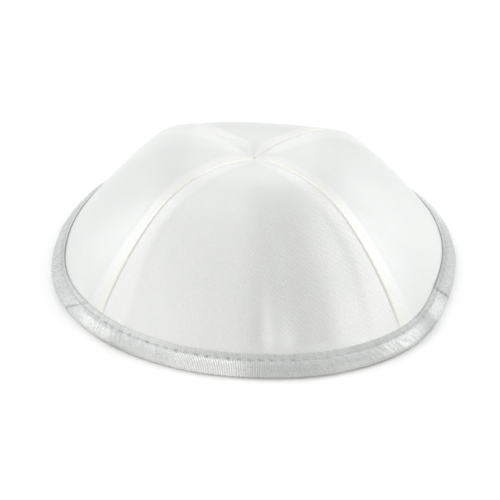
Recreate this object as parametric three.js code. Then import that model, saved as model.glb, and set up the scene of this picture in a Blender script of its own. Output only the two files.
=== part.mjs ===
/**
 * Four-panel satin kippah (skullcap), resting on its bound rim.
 *
 * Millimetres, +Z up. The cap's front faces -Y and its right side faces +X. The origin is on the
 * surface that the rim rests on, under the middle of the cap's outline.
 *
 * Four gores meet at a crown that is pressed in a little. Each pair of neighbours is joined by a
 * seam that lies in an upright plane through the crown, so a gore is worked out from its two seams
 * and the arc of rim between them. A tape folded over the rim, the binding, holds their lower edges
 * in its channel. Every wall is a grid of points on its outer face and a second one on its inner
 * face, and an azimuth is measured from the front (-Y) towards the right (+X).
 */
import * as THREE from "three";

// ---------------------------------------------------------------------------------------------
// Driving dimensions, in millimetres and degrees
// ---------------------------------------------------------------------------------------------

/** Plan of the rim: how far the binding's outermost line stands from the axis at each azimuth. */
const RIM_PLAN = [
  { azimuth: -180, radius: 92 },
  { azimuth: -157.5, radius: 94 },
  { azimuth: -135, radius: 95 },
  { azimuth: -112.5, radius: 93.5 },
  { azimuth: -90, radius: 93 },
  { azimuth: -67.5, radius: 94 },
  { azimuth: -45, radius: 92 },
  { azimuth: -22.5, radius: 89.5 },
  { azimuth: 0, radius: 89 },
  { azimuth: 22.5, radius: 92.5 },
  { azimuth: 45, radius: 95.5 },
  { azimuth: 67.5, radius: 92.5 },
  { azimuth: 90, radius: 93 },
  { azimuth: 112.5, radius: 94 },
  { azimuth: 135, radius: 92.5 },
  { azimuth: 157.5, radius: 92 },
];

/** Where each seam meets the rim. */
const SEAM_AZIMUTH = { front_left: -48, front_right: 42, back_right: 126, back_left: 228.5 };

/** Each gore lies between two seams, taken towards the right as seen from outside. */
const PANELS = [
  { name: "panel_front", from: "front_left", to: "front_right" },
  { name: "panel_right", from: "front_right", to: "back_right" },
  { name: "panel_back", from: "back_right", to: "back_left" },
  { name: "panel_left", from: "back_left", to: "front_left" },
];

/** Where the four seams meet, on the outer face. */
const CROWN = { x: -0.5, y: 1, z: 48.5 };

/**
 * Outer line of a seam, from the crown to the binding. Reach is the share of the way out, and rise
 * is the height there as a share of the crown's own height above the binding's edge.
 */
const SEAM_PROFILE = [
  { reach: 0, rise: 1 },
  { reach: 0.12, rise: 1.05 },
  { reach: 0.26, rise: 1.08 },
  { reach: 0.42, rise: 1.06 },
  { reach: 0.58, rise: 0.94 },
  { reach: 0.74, rise: 0.68 },
  { reach: 0.88, rise: 0.36 },
  { reach: 1, rise: 0 },
];

/** A gore is flat across near the crown and as round as the rim at its foot. */
const ROUNDING_POWER = 2.4;

/** Soft hollows in a gore: across and reach place the middle as shares, and depth is inwards. */
const HOLLOWS = [
  { panel: "panel_front", across: 0.46, reach: 0.92, halfAcross: 0.07, halfReach: 0.2, depth: 0.9 },
  { panel: "panel_front", across: 0.62, reach: 0.8, halfAcross: 0.12, halfReach: 0.3, depth: 0.6 },
];

const CLOTH = 1.2; // wall of a gore of satin cloth
const SEAM_GAP = 0.3; // between neighbouring gores along a seam
const CROWN_HOLE = 0.5; // radius of the pinhole left where the four points meet

/** The turned-back edges pressed flat beside each seam. */
const ALLOWANCE = { width: 8, proud: 0.25, flap: 0.5, edge: 1.2, mostOfPanel: 0.22 };

/** The tape folded over the rim. */
const BINDING = {
  leg: 1, // thickness of the folded tape on each face
  gap: 0.3, // between the tape and the gores inside it
  lean: 47, // how far the wall leans in from upright at the rim
  outerWidth: 7.2, // up the outer face, from the fold to the stitched edge
  innerWidth: 7.6, // up the inner face, which is a little wider
  footAngle: 23, // half the arc of the fold that is pressed flat where the cap rests
};

/** How finely the walls are divided. */
const ROWS_OF_PANEL = 15;
const ROWS_IN_CHANNEL = 3;
const COLUMNS_BETWEEN_ALLOWANCES = 12;
const STEPS_ROUND_RIM = 80;
const STEPS_ROUND_FOLD = 4;

const WHITE_SATIN = { color: 0xeeeeec, roughness: 0.45, metalness: 0 };
const SILVER_SATIN = { color: 0xc4c7c8, roughness: 0.38, metalness: 0 };

// ---------------------------------------------------------------------------------------------
// Curves through the tables
// ---------------------------------------------------------------------------------------------

/** Height at x of the smooth curve with the given slopes through two points. */
function hermite(x, x0, y0, slope0, x1, y1, slope1) {
  const span = x1 - x0;
  const t = (x - x0) / span;
  const t2 = t * t;
  const t3 = t2 * t;
  const ends = y0 * (2 * t3 - 3 * t2 + 1) + y1 * (3 * t2 - 2 * t3);
  return ends + span * (slope0 * (t3 - 2 * t2 + t) + slope1 * (t3 - t2));
}

/** Value at x of the smooth curve through a table's rows, level at its first row. */
function alongTable(rows, key, value, x) {
  const slopeAt = (i) => {
    if (i === 0) return 0;
    const before = rows[i - 1];
    const after = rows[Math.min(i + 1, rows.length - 1)];
    return (after[value] - before[value]) / (after[key] - before[key]);
  };
  let i = 0;
  while (i < rows.length - 2 && x > rows[i + 1][key]) i += 1;
  const [a, b] = [rows[i], rows[i + 1]];
  return hermite(x, a[key], a[value], slopeAt(i), b[key], b[value], slopeAt(i + 1));
}

/** Radius of the binding's outermost line at an azimuth, from the closed curve of RIM_PLAN. */
function rimRadius(azimuth) {
  const count = RIM_PLAN.length;
  const step = 360 / count;
  const place = THREE.MathUtils.euclideanModulo(azimuth - RIM_PLAN[0].azimuth, 360) / step;
  const i = Math.floor(place);
  const radius = (k) => RIM_PLAN[(k + count) % count].radius;
  const slope = (k) => (radius(k + 1) - radius(k - 1)) / 2;
  return hermite(place, i, radius(i), slope(i), i + 1, radius(i + 1), slope(i + 1));
}

/** 0 below the first value, 1 above the second, and an even ramp between them. */
function ramp(x, from, to) {
  return THREE.MathUtils.clamp((x - from) / (to - from), 0, 1);
}

// ---------------------------------------------------------------------------------------------
// The wall at the rim
// ---------------------------------------------------------------------------------------------

const LEAN = THREE.MathUtils.degToRad(BINDING.lean);
const UP_THE_WALL = { radius: -Math.sin(LEAN), z: Math.cos(LEAN) };
const OUT_OF_THE_WALL = { radius: Math.cos(LEAN), z: Math.sin(LEAN) };
const HALF_CHANNEL = CLOTH / 2 + BINDING.gap;
const FOLD_RADIUS = HALF_CHANNEL + BINDING.leg;
const FOLD_HEIGHT = FOLD_RADIUS * Math.cos(THREE.MathUtils.degToRad(BINDING.footAngle));

/** Point at an azimuth and a radius and height in the upright plane there. */
function polar(azimuth, radius, z) {
  const angle = THREE.MathUtils.degToRad(azimuth);
  return new THREE.Vector3(radius * Math.sin(angle), -radius * Math.cos(angle), z);
}

/** Point of the rim's wall: up from the middle of the fold, and out from the wall's mid face. */
function rimWall(azimuth, up, out) {
  const foldRadius = rimRadius(azimuth) - FOLD_RADIUS;
  return polar(
    azimuth,
    foldRadius + up * UP_THE_WALL.radius + out * OUT_OF_THE_WALL.radius,
    FOLD_HEIGHT + up * UP_THE_WALL.z + out * OUT_OF_THE_WALL.z,
  );
}

/** Point of a gore's edge line inside the rim, at a depth below its outer face. */
function gorePointAtRim(azimuth, up, depth) {
  return rimWall(azimuth, up, CLOTH / 2 - depth);
}

// ---------------------------------------------------------------------------------------------
// Seams and gores
// ---------------------------------------------------------------------------------------------

/** Point of a seam's plane at a reach, on the seam's outer line. */
function seamLine(azimuth, reach) {
  const end = gorePointAtRim(azimuth, BINDING.outerWidth, 0);
  const rise = alongTable(SEAM_PROFILE, "reach", "rise", reach);
  return new THREE.Vector3(
    THREE.MathUtils.lerp(CROWN.x, end.x, reach),
    THREE.MathUtils.lerp(CROWN.y, end.y, reach),
    THREE.MathUtils.lerp(end.z, CROWN.z, rise),
  );
}

/** Point of a seam's plane at a reach and a depth square to the seam's outer line. */
function seamPoint(azimuth, reach, depth) {
  const step = 0.01;
  const ahead = seamLine(azimuth, Math.min(reach + step, 1));
  const behind = seamLine(azimuth, Math.max(reach - step, 0));
  const run = Math.hypot(ahead.x - behind.x, ahead.y - behind.y);
  const outward = polar(azimuth, 1, 0).multiplyScalar(behind.z - ahead.z);
  const normal = outward.setZ(run).normalize();
  const settled = ramp(reach, 0, 0.1);
  normal.lerp(new THREE.Vector3(0, 0, 1), 1 - settled).normalize();
  const rimNormal = gorePointAtRim(azimuth, 0, -1).sub(gorePointAtRim(azimuth, 0, 0));
  normal.lerp(rimNormal, ramp(reach, 0.9, 1)).normalize();
  return seamLine(azimuth, reach).addScaledVector(normal, -depth);
}

/** A gore's own azimuths, with the far seam always ahead of the near one. */
function azimuthsOf(panel) {
  const from = SEAM_AZIMUTH[panel.from];
  const to = THREE.MathUtils.euclideanModulo(SEAM_AZIMUTH[panel.to] - from, 360) + from;
  return { from, to };
}

/** How far a gore's hollows press it in at a place given as shares across and out. */
function hollowDepth(panel, across, reach) {
  return HOLLOWS.filter((hollow) => hollow.panel === panel.name).reduce((sum, hollow) => {
    const a = (across - hollow.across) / hollow.halfAcross;
    const r = (reach - hollow.reach) / hollow.halfReach;
    return sum + hollow.depth * Math.exp(-a * a - r * r);
  }, 0);
}

/** Point of a gore at shares across and out, at a depth below its smooth outer face. */
function gorePoint(panel, across, reach, depth) {
  const { from, to } = azimuthsOf(panel);
  const rim = (share) =>
    gorePointAtRim(THREE.MathUtils.lerp(from, to, share), BINDING.outerWidth, depth);
  const bulge = rim(across).sub(rim(0).lerp(rim(1), across));
  const near = seamPoint(from, reach, depth);
  const far = seamPoint(to, reach, depth);
  const point = near.lerp(far, across).addScaledVector(bulge, reach ** ROUNDING_POWER);
  const fade = ramp(reach, 1, 0.94);
  const outward = new THREE.Vector3(point.x, point.y, Math.hypot(point.x, point.y)).normalize();
  return point.addScaledVector(outward, -fade * hollowDepth(panel, across, reach));
}

/** Shares across a gore for its columns: close together over the allowances, wider between. */
function columnShares(width) {
  const allowance = Math.min(ALLOWANCE.width, ALLOWANCE.mostOfPanel * width);
  const edge = Math.min(ALLOWANCE.edge, allowance / 4);
  const left = [0, allowance / 2, allowance, allowance + edge].map((distance) => distance / width);
  const inner = left[left.length - 1];
  const middle = [];
  for (let i = 1; i < COLUMNS_BETWEEN_ALLOWANCES; i += 1) {
    middle.push(THREE.MathUtils.lerp(inner, 1 - inner, i / COLUMNS_BETWEEN_ALLOWANCES));
  }
  return [...left, ...middle, ...left.map((share) => 1 - share).reverse()];
}

/** Whether a column lies on the turned-back edge: the first three and the last three do. */
function onAllowance(column, count) {
  return Math.min(column, count - 1 - column) < 3;
}

/** The same point, moved off the seam's plane by half of the gap where it lies on a seam. */
function clearOfSeams(panel, point, column, count) {
  const { from, to } = azimuthsOf(panel);
  if (column === 0) return point.addScaledVector(polar(from + 90, 1, 0), SEAM_GAP / 2);
  if (column === count - 1) return point.addScaledVector(polar(to - 90, 1, 0), SEAM_GAP / 2);
  return point;
}

/** One face of a gore as rows of points, from the crown to the lower edge in the channel. */
function goreFace(panel, inner) {
  const { from, to } = azimuthsOf(panel);
  const seamReach = seamLine(from, 1).setZ(0).distanceTo(new THREE.Vector3(CROWN.x, CROWN.y, 0));
  const rows = [];
  for (let i = 0; i <= ROWS_OF_PANEL; i += 1) {
    const share = i / ROWS_OF_PANEL;
    const reach = THREE.MathUtils.lerp(CROWN_HOLE / seamReach, 1, share ** 1.15);
    const width = seamLine(from, reach).distanceTo(seamLine(to, reach));
    const shares = columnShares(width);
    const thick = ramp(reach, 0.02, 0.1) * ramp(reach, 1, 0.93);
    rows.push(
      shares.map((across, column) => {
        const relief = onAllowance(column, shares.length) ? thick : 0;
        const depth = inner ? CLOTH + relief * ALLOWANCE.flap : -relief * ALLOWANCE.proud;
        const point = gorePoint(panel, across, reach, depth);
        return clearOfSeams(panel, point, column, shares.length);
      }),
    );
  }
  const rimShares = columnShares(seamLine(from, 1).distanceTo(seamLine(to, 1)));
  for (let i = 1; i <= ROWS_IN_CHANNEL; i += 1) {
    const up = THREE.MathUtils.lerp(BINDING.outerWidth, BINDING.gap, i / ROWS_IN_CHANNEL);
    rows.push(
      rimShares.map((across, column) => {
        const azimuth = THREE.MathUtils.lerp(from, to, across);
        const point = gorePointAtRim(azimuth, up, inner ? CLOTH : 0);
        return clearOfSeams(panel, point, column, rimShares.length);
      }),
    );
  }
  return rows;
}

// ---------------------------------------------------------------------------------------------
// Closed solids from grids of points
// ---------------------------------------------------------------------------------------------

/** Closed solid between an outer and an inner grid of points, both seen from outside. */
function shellGeometry(outer, inner) {
  const [rows, columns] = [outer.length, outer[0].length];
  const points = [...outer.flat(), ...inner.flat()];
  const out = (i, j) => i * columns + j;
  const into = (i, j) => rows * columns + i * columns + j;
  const faces = [];
  const quad = (a, b, c, d) => faces.push(a, b, c, a, c, d);
  for (let i = 0; i < rows - 1; i += 1) {
    for (let j = 0; j < columns - 1; j += 1) {
      quad(out(i, j), out(i + 1, j), out(i + 1, j + 1), out(i, j + 1));
      quad(into(i, j), into(i, j + 1), into(i + 1, j + 1), into(i + 1, j));
    }
    quad(out(i, 0), into(i, 0), into(i + 1, 0), out(i + 1, 0));
    const last = columns - 1;
    quad(out(i, last), out(i + 1, last), into(i + 1, last), into(i, last));
  }
  for (let j = 0; j < columns - 1; j += 1) {
    const end = rows - 1;
    quad(out(0, j), out(0, j + 1), into(0, j + 1), into(0, j));
    quad(out(end, j), into(end, j), into(end, j + 1), out(end, j + 1));
  }
  return indexedGeometry(points, faces);
}

/** Closed ring from sections of equal length, one after another round the axis. */
function ringGeometry(sections) {
  const count = sections.length;
  const length = sections[0].length;
  const faces = [];
  for (let i = 0; i < count; i += 1) {
    const next = (i + 1) % count;
    for (let j = 0; j < length; j += 1) {
      const after = (j + 1) % length;
      const corners = [i * length + j, i * length + after, next * length + after, next * length + j];
      faces.push(corners[0], corners[1], corners[2], corners[0], corners[2], corners[3]);
    }
  }
  return indexedGeometry(sections.flat(), faces);
}

/** Geometry of shared points and triangles, with its normals. */
function indexedGeometry(points, faces) {
  const geometry = new THREE.BufferGeometry().setFromPoints(points);
  geometry.setIndex(faces);
  geometry.computeVertexNormals();
  return geometry;
}

// ---------------------------------------------------------------------------------------------
// The pieces
// ---------------------------------------------------------------------------------------------

/** One gore of white satin. */
function gore(panel) {
  const geometry = shellGeometry(goreFace(panel, false), goreFace(panel, true));
  const mesh = new THREE.Mesh(geometry, new THREE.MeshStandardMaterial(WHITE_SATIN));
  mesh.name = panel.name;
  return mesh;
}

/** Section of the binding at an azimuth, from the channel's mouth round the fold and back. */
function bindingSection(azimuth) {
  const { outerWidth, innerWidth, lean, footAngle } = BINDING;
  const outerLeg = [rimWall(azimuth, outerWidth, HALF_CHANNEL), rimWall(azimuth, outerWidth, FOLD_RADIUS)];
  const foldRadius = rimRadius(azimuth) - FOLD_RADIUS;
  const onFold = (degrees) => {
    const angle = THREE.MathUtils.degToRad(degrees);
    return polar(
      azimuth,
      foldRadius + FOLD_RADIUS * Math.cos(angle),
      FOLD_HEIGHT + FOLD_RADIUS * Math.sin(angle),
    );
  };
  const arc = (start, end) => {
    const points = [];
    for (let i = 0; i <= STEPS_ROUND_FOLD; i += 1) {
      points.push(onFold(THREE.MathUtils.lerp(start, end, i / STEPS_ROUND_FOLD)));
    }
    return points;
  };
  const outerFold = arc(lean, footAngle - 90);
  const innerFold = arc(-90 - footAngle, lean - 180);
  const innerLeg = [rimWall(azimuth, innerWidth, -FOLD_RADIUS), rimWall(azimuth, innerWidth, -HALF_CHANNEL)];
  const floor = [rimWall(azimuth, 0, -HALF_CHANNEL), rimWall(azimuth, 0, HALF_CHANNEL)];
  return [...outerLeg, ...outerFold, ...innerFold, ...innerLeg, ...floor];
}

/** The tape folded over the rim, one closed channel all the way round. */
function rimBinding() {
  const sections = [];
  for (let i = 0; i < STEPS_ROUND_RIM; i += 1) {
    sections.push(bindingSection((i * 360) / STEPS_ROUND_RIM));
  }
  const mesh = new THREE.Mesh(
    ringGeometry(sections),
    new THREE.MeshStandardMaterial(SILVER_SATIN),
  );
  mesh.name = "rim_binding";
  return mesh;
}

/** The whole cap, moved so that the middle of its outline is over the origin. */
function kippah() {
  const cap = new THREE.Group();
  cap.name = "kippah";
  cap.add(...PANELS.map(gore), rimBinding());
  const middle = new THREE.Box3().setFromObject(cap, true).getCenter(new THREE.Vector3());
  cap.position.set(-middle.x, -middle.y, 0);
  return cap;
}

export default kippah();
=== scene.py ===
"""Four-panel satin kippah with a ribbon folded over its rim, in metres, +Z up, front towards -Y.

The cap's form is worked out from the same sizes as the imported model, and every sewn piece is cut
from that form: a gore lies between two seams, and the ribbon follows the rim. An azimuth is
measured in degrees from the front (-Y) towards the right (+X). Reach is a share of the way from
the crown out to the ribbon, and across is a share of the way from a gore's near seam to its far one.
"""

import logging
import math
from dataclasses import dataclass
from enum import Enum

import bpy
import numpy as np
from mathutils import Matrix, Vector


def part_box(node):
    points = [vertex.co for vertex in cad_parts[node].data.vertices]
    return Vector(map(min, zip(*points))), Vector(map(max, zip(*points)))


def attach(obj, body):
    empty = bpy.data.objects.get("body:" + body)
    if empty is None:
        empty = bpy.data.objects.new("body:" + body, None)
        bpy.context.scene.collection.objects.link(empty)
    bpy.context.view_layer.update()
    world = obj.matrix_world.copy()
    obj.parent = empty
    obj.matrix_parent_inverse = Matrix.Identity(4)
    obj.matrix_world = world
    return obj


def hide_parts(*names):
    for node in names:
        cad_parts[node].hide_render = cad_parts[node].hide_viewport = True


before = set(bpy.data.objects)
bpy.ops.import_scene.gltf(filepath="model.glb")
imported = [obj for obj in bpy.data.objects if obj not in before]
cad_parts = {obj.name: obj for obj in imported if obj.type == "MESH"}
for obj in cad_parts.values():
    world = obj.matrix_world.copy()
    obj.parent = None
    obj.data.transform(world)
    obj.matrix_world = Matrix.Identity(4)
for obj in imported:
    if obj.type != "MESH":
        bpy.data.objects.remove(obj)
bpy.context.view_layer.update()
MM = 0.001
LOG = logging.getLogger("kippah")
Socket = bpy.types.NodeSocket
Tint = tuple[float, float, float]


# ------------------------------------------------------------------------------------------------
# Small sums on arrays
# ------------------------------------------------------------------------------------------------


def smooth(x: np.ndarray, start: float, end: float) -> np.ndarray:
    """Soft step.

    Args:
        x: Where the step is read.
        start: Value of x at which the step leaves 0.
        end: Value of x at which the step reaches 1; it may be less than start.

    Returns:
        Values from 0 to 1, level at both ends.
    """
    t = np.clip((np.asarray(x, float) - start) / (end - start), 0, 1)
    return t * t * (3 - 2 * t)


def hermite(t: np.ndarray, ends: tuple, slopes: tuple, span: np.ndarray | float = 1.0) -> np.ndarray:
    """Curve through two values with given slopes.

    Args:
        t: Share of the way from the first value to the second.
        ends: The two values.
        slopes: The slope at each of them.
        span: Distance between them, in the slopes' own unit.

    Returns:
        The curve's values at t.
    """
    t2, t3 = t * t, t * t * t
    level = ends[0] * (2 * t3 - 3 * t2 + 1) + ends[1] * (3 * t2 - 2 * t3)
    return level + span * (slopes[0] * (t3 - 2 * t2 + t) + slopes[1] * (t3 - t2))


def unit(vectors: np.ndarray) -> np.ndarray:
    """The same vectors at length 1."""
    length = np.linalg.norm(vectors, axis=-1, keepdims=True)
    return vectors / np.maximum(length, 1e-12)


def polar(azimuth: np.ndarray, radius: np.ndarray, z: np.ndarray) -> np.ndarray:
    """Points at an azimuth in degrees, a radius and a height.

    Args:
        azimuth: Degrees from the front towards the right.
        radius: Distance from the axis.
        z: Height.

    Returns:
        Points, with x, y and z along the last axis.
    """
    angle = np.radians(azimuth)
    parts = np.broadcast_arrays(radius * np.sin(angle), -radius * np.cos(angle), z)
    return np.stack(parts, axis=-1)


def degrees_from(middle: np.ndarray | float, azimuth: np.ndarray) -> np.ndarray:
    """Signed degrees from a middle azimuth, from -180 to 180."""
    return (azimuth - middle + 180) % 360 - 180


def grid_normals(points: np.ndarray, closed: bool = False) -> np.ndarray:
    """Outward normals of a grid of points whose rows run down and whose columns run to the right.

    Args:
        points: Grid of points, seen from outside.
        closed: Whether the first column follows the last one.

    Returns:
        One unit vector for each point.
    """
    if closed:
        wrapped = np.concatenate([points[:, -1:], points, points[:, :1]], axis=1)
        across = np.gradient(wrapped, axis=1)[:, 1:-1]
    else:
        across = np.gradient(points, axis=1)
    down = np.gradient(points, axis=0)
    return unit(np.cross(down, across))


# ------------------------------------------------------------------------------------------------
# The cap's form
# ------------------------------------------------------------------------------------------------


class Seam(Enum):
    """The four seams, each by the azimuth at which it meets the rim."""

    FRONT_LEFT = -48.0
    FRONT_RIGHT = 42.0
    BACK_RIGHT = 126.0
    BACK_LEFT = 228.5


@dataclass(frozen=True)
class CapForm:
    """The smooth form that the pieces are cut from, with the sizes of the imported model.

    rim_plan holds the radius of the ribbon's outermost line at even steps of azimuth from -180.
    seam_profile pairs a reach with the rise there, a share of the crown's height over the ribbon.
    """

    rim_plan: tuple[float, ...] = tuple(
        r * MM for r in (92, 94, 95, 93.5, 93, 94, 92, 89.5, 89, 92.5, 95.5, 92.5, 93, 94, 92.5, 92)
    )
    seam_profile: tuple[tuple[float, float], ...] = (
        (0, 1), (0.12, 1.05), (0.26, 1.08), (0.42, 1.06), (0.58, 0.94), (0.74, 0.68), (0.88, 0.36), (1, 0),
    )
    crown: tuple[float, float, float] = (-0.5 * MM, 1 * MM, 48.5 * MM)
    rounding_power: float = 2.4
    cloth: float = 1.2 * MM
    fold_radius: float = 1.9 * MM
    lean: float = math.radians(47)
    foot_angle: float = math.radians(23)
    outer_width: float = 7.2 * MM
    inner_width: float = 7.6 * MM

    @property
    def fold_height(self) -> float:
        """Height of the middle of the ribbon's fold, whose foot is pressed flat."""
        return self.fold_radius * math.cos(self.foot_angle)

    def rim_radius(self, azimuth: np.ndarray) -> np.ndarray:
        """Radius of the ribbon's outermost line.

        Args:
            azimuth: Degrees from the front towards the right.

        Returns:
            The closed curve of rim_plan at each azimuth.
        """
        plan = np.array(self.rim_plan)
        place = np.mod(np.asarray(azimuth, float) + 180, 360) / (360 / len(plan))
        i = np.floor(place).astype(int)

        def radius(k: np.ndarray) -> np.ndarray:
            """The plan's radius at a step."""
            return plan[k % len(plan)]

        def slope(k: np.ndarray) -> np.ndarray:
            """The plan's slope at a step."""
            return (radius(k + 1) - radius(k - 1)) / 2

        return hermite(place - i, (radius(i), radius(i + 1)), (slope(i), slope(i + 1)))

    def rim_wall(self, azimuth: np.ndarray, up: np.ndarray, out: np.ndarray) -> np.ndarray:
        """Points of the wall at the rim, before the cap is centred.

        Args:
            azimuth: Degrees from the front towards the right.
            up: Distance up the wall from the middle of the ribbon's fold.
            out: Distance out from the wall's mid face.

        Returns:
            The points.
        """
        radius = self.rim_radius(azimuth) - self.fold_radius
        radius = radius - up * math.sin(self.lean) + out * math.cos(self.lean)
        height = self.fold_height + up * math.cos(self.lean) + out * math.sin(self.lean)
        return polar(azimuth, radius, height)

    def middle(self) -> np.ndarray:
        """Middle of the rim's plan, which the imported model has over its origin.

        Returns:
            A point on the floor.
        """
        azimuth = np.arange(0, 360, 0.25)
        outline = polar(azimuth, self.rim_radius(azimuth), 0)
        low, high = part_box("rim_binding")
        packed = np.array([(low.x + high.x) / 2, (low.y + high.y) / 2, 0])
        return (outline.min(axis=0) + outline.max(axis=0)) / 2 - packed

    def rise(self, reach: np.ndarray) -> np.ndarray:
        """Seam profile at a reach.

        Args:
            reach: Share of the way from the crown to the ribbon.

        Returns:
            Share of the crown's height over the ribbon's edge.
        """
        table = np.array(self.seam_profile)
        keys, values = table[:, 0], table[:, 1]
        slopes = np.zeros(len(keys))
        slopes[1:-1] = (values[2:] - values[:-2]) / (keys[2:] - keys[:-2])
        slopes[-1] = (values[-1] - values[-2]) / (keys[-1] - keys[-2])
        i = np.clip(np.searchsorted(keys, reach, side="left") - 1, 0, len(keys) - 2)
        span = keys[i + 1] - keys[i]
        t = (reach - keys[i]) / span
        return hermite(t, (values[i], values[i + 1]), (slopes[i], slopes[i + 1]), span)

    def mouth(self, azimuth: np.ndarray) -> np.ndarray:
        """Points of the gores' outer face level with the ribbon's upper edge."""
        return self.rim_wall(azimuth, self.outer_width, self.cloth / 2)

    def seam_line(self, azimuth: float, reach: np.ndarray) -> np.ndarray:
        """Outer line of a seam.

        Args:
            azimuth: Where the seam meets the rim.
            reach: Shares of the way out.

        Returns:
            One point for each reach.
        """
        end = self.mouth(np.array(azimuth))
        crown = np.array(self.crown)
        line = crown + (end - crown) * reach[:, None]
        line[:, 2] = end[2] + (crown[2] - end[2]) * self.rise(reach)
        return line

    def gore_face(self, span: tuple[float, float], across: np.ndarray, reach: np.ndarray) -> np.ndarray:
        """Smooth outer face of a gore.

        Args:
            span: Azimuths of its near and far seams.
            across: A row of shares across for each reach.
            reach: Shares of the way out.

        Returns:
            Grid of points, a row for each reach.
        """
        near, far = (self.mouth(np.array(azimuth)) for azimuth in span)
        rim = self.mouth(span[0] + (span[1] - span[0]) * across)
        share = across[..., None]
        bulge = rim - (near + (far - near) * share)
        left, right = (self.seam_line(azimuth, reach)[:, None] for azimuth in span)
        return left + (right - left) * share + bulge * (reach ** self.rounding_power)[:, None, None]


# ------------------------------------------------------------------------------------------------
# Meshes and node trees
# ------------------------------------------------------------------------------------------------


def mesh_object(
    name: str,
    points: np.ndarray,
    faces: list[tuple[int, ...]],
    materials: list[bpy.types.Material],
    uv: np.ndarray | None = None,
    slots: np.ndarray | None = None,
    marks: dict[str, np.ndarray] | None = None,
) -> bpy.types.Object:
    """Smooth-shaded mesh object at the origin.

    Args:
        name: The piece's name.
        points: Its points.
        faces: Corners of each face, anticlockwise from outside.
        materials: Its materials.
        uv: A pair in metres for each point, or None.
        slots: The material of each face, or None for the first one.
        marks: A number for each point under each name, which the finishes read.

    Returns:
        The object, linked to the scene.
    """
    mesh = bpy.data.meshes.new(name)
    mesh.from_pydata(points.tolist(), [], faces)
    for material in materials:
        mesh.materials.append(material)
    if slots is not None:
        mesh.polygons.foreach_set("material_index", slots.astype(np.int32))
    if uv is not None:
        corners = np.zeros(len(mesh.loops), np.int32)
        mesh.loops.foreach_get("vertex_index", corners)
        layer = mesh.uv_layers.new(name="cloth")
        layer.data.foreach_set("uv", uv[corners].astype(np.float32).ravel())
    for label, values in (marks or {}).items():
        mark = mesh.attributes.new(label, "FLOAT", "POINT")
        mark.data.foreach_set("value", values.astype(np.float32).ravel())
    mesh.shade_smooth()
    mesh.update()
    piece = bpy.data.objects.new(name, mesh)
    bpy.context.scene.collection.objects.link(piece)
    return piece


@dataclass
class Tree:
    """A node tree under construction."""

    tree: bpy.types.NodeTree
    column: int = 0

    def add(self, kind: str, **settings: object) -> bpy.types.Node:
        """Adds a node.

        Args:
            kind: Its type's name.
            settings: Its own settings, and with a leading "in_" a value for the input of that number.

        Returns:
            The node.
        """
        node = self.tree.nodes.new(kind)
        self.column += 1
        node.location = (180 * (self.column % 12), -220 * (self.column // 12))
        for key, value in settings.items():
            if key.startswith("in_"):
                node.inputs[int(key[3:])].default_value = value
            else:
                setattr(node, key, value)
        return node

    def link(self, source: Socket, target: Socket) -> None:
        """Joins an output to an input."""
        self.tree.links.new(source, target)

    def maths(self, operation: str, a: object, b: object = 0.0) -> Socket:
        """One step of arithmetic.

        Args:
            operation: The Math node's operation.
            a: A socket or a number.
            b: A socket or a number.

        Returns:
            The result's socket.
        """
        node = self.add("ShaderNodeMath", operation=operation)
        for slot, value in enumerate((a, b)):
            if isinstance(value, Socket):
                self.link(value, node.inputs[slot])
            else:
                node.inputs[slot].default_value = value
        return node.outputs[0]


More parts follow.
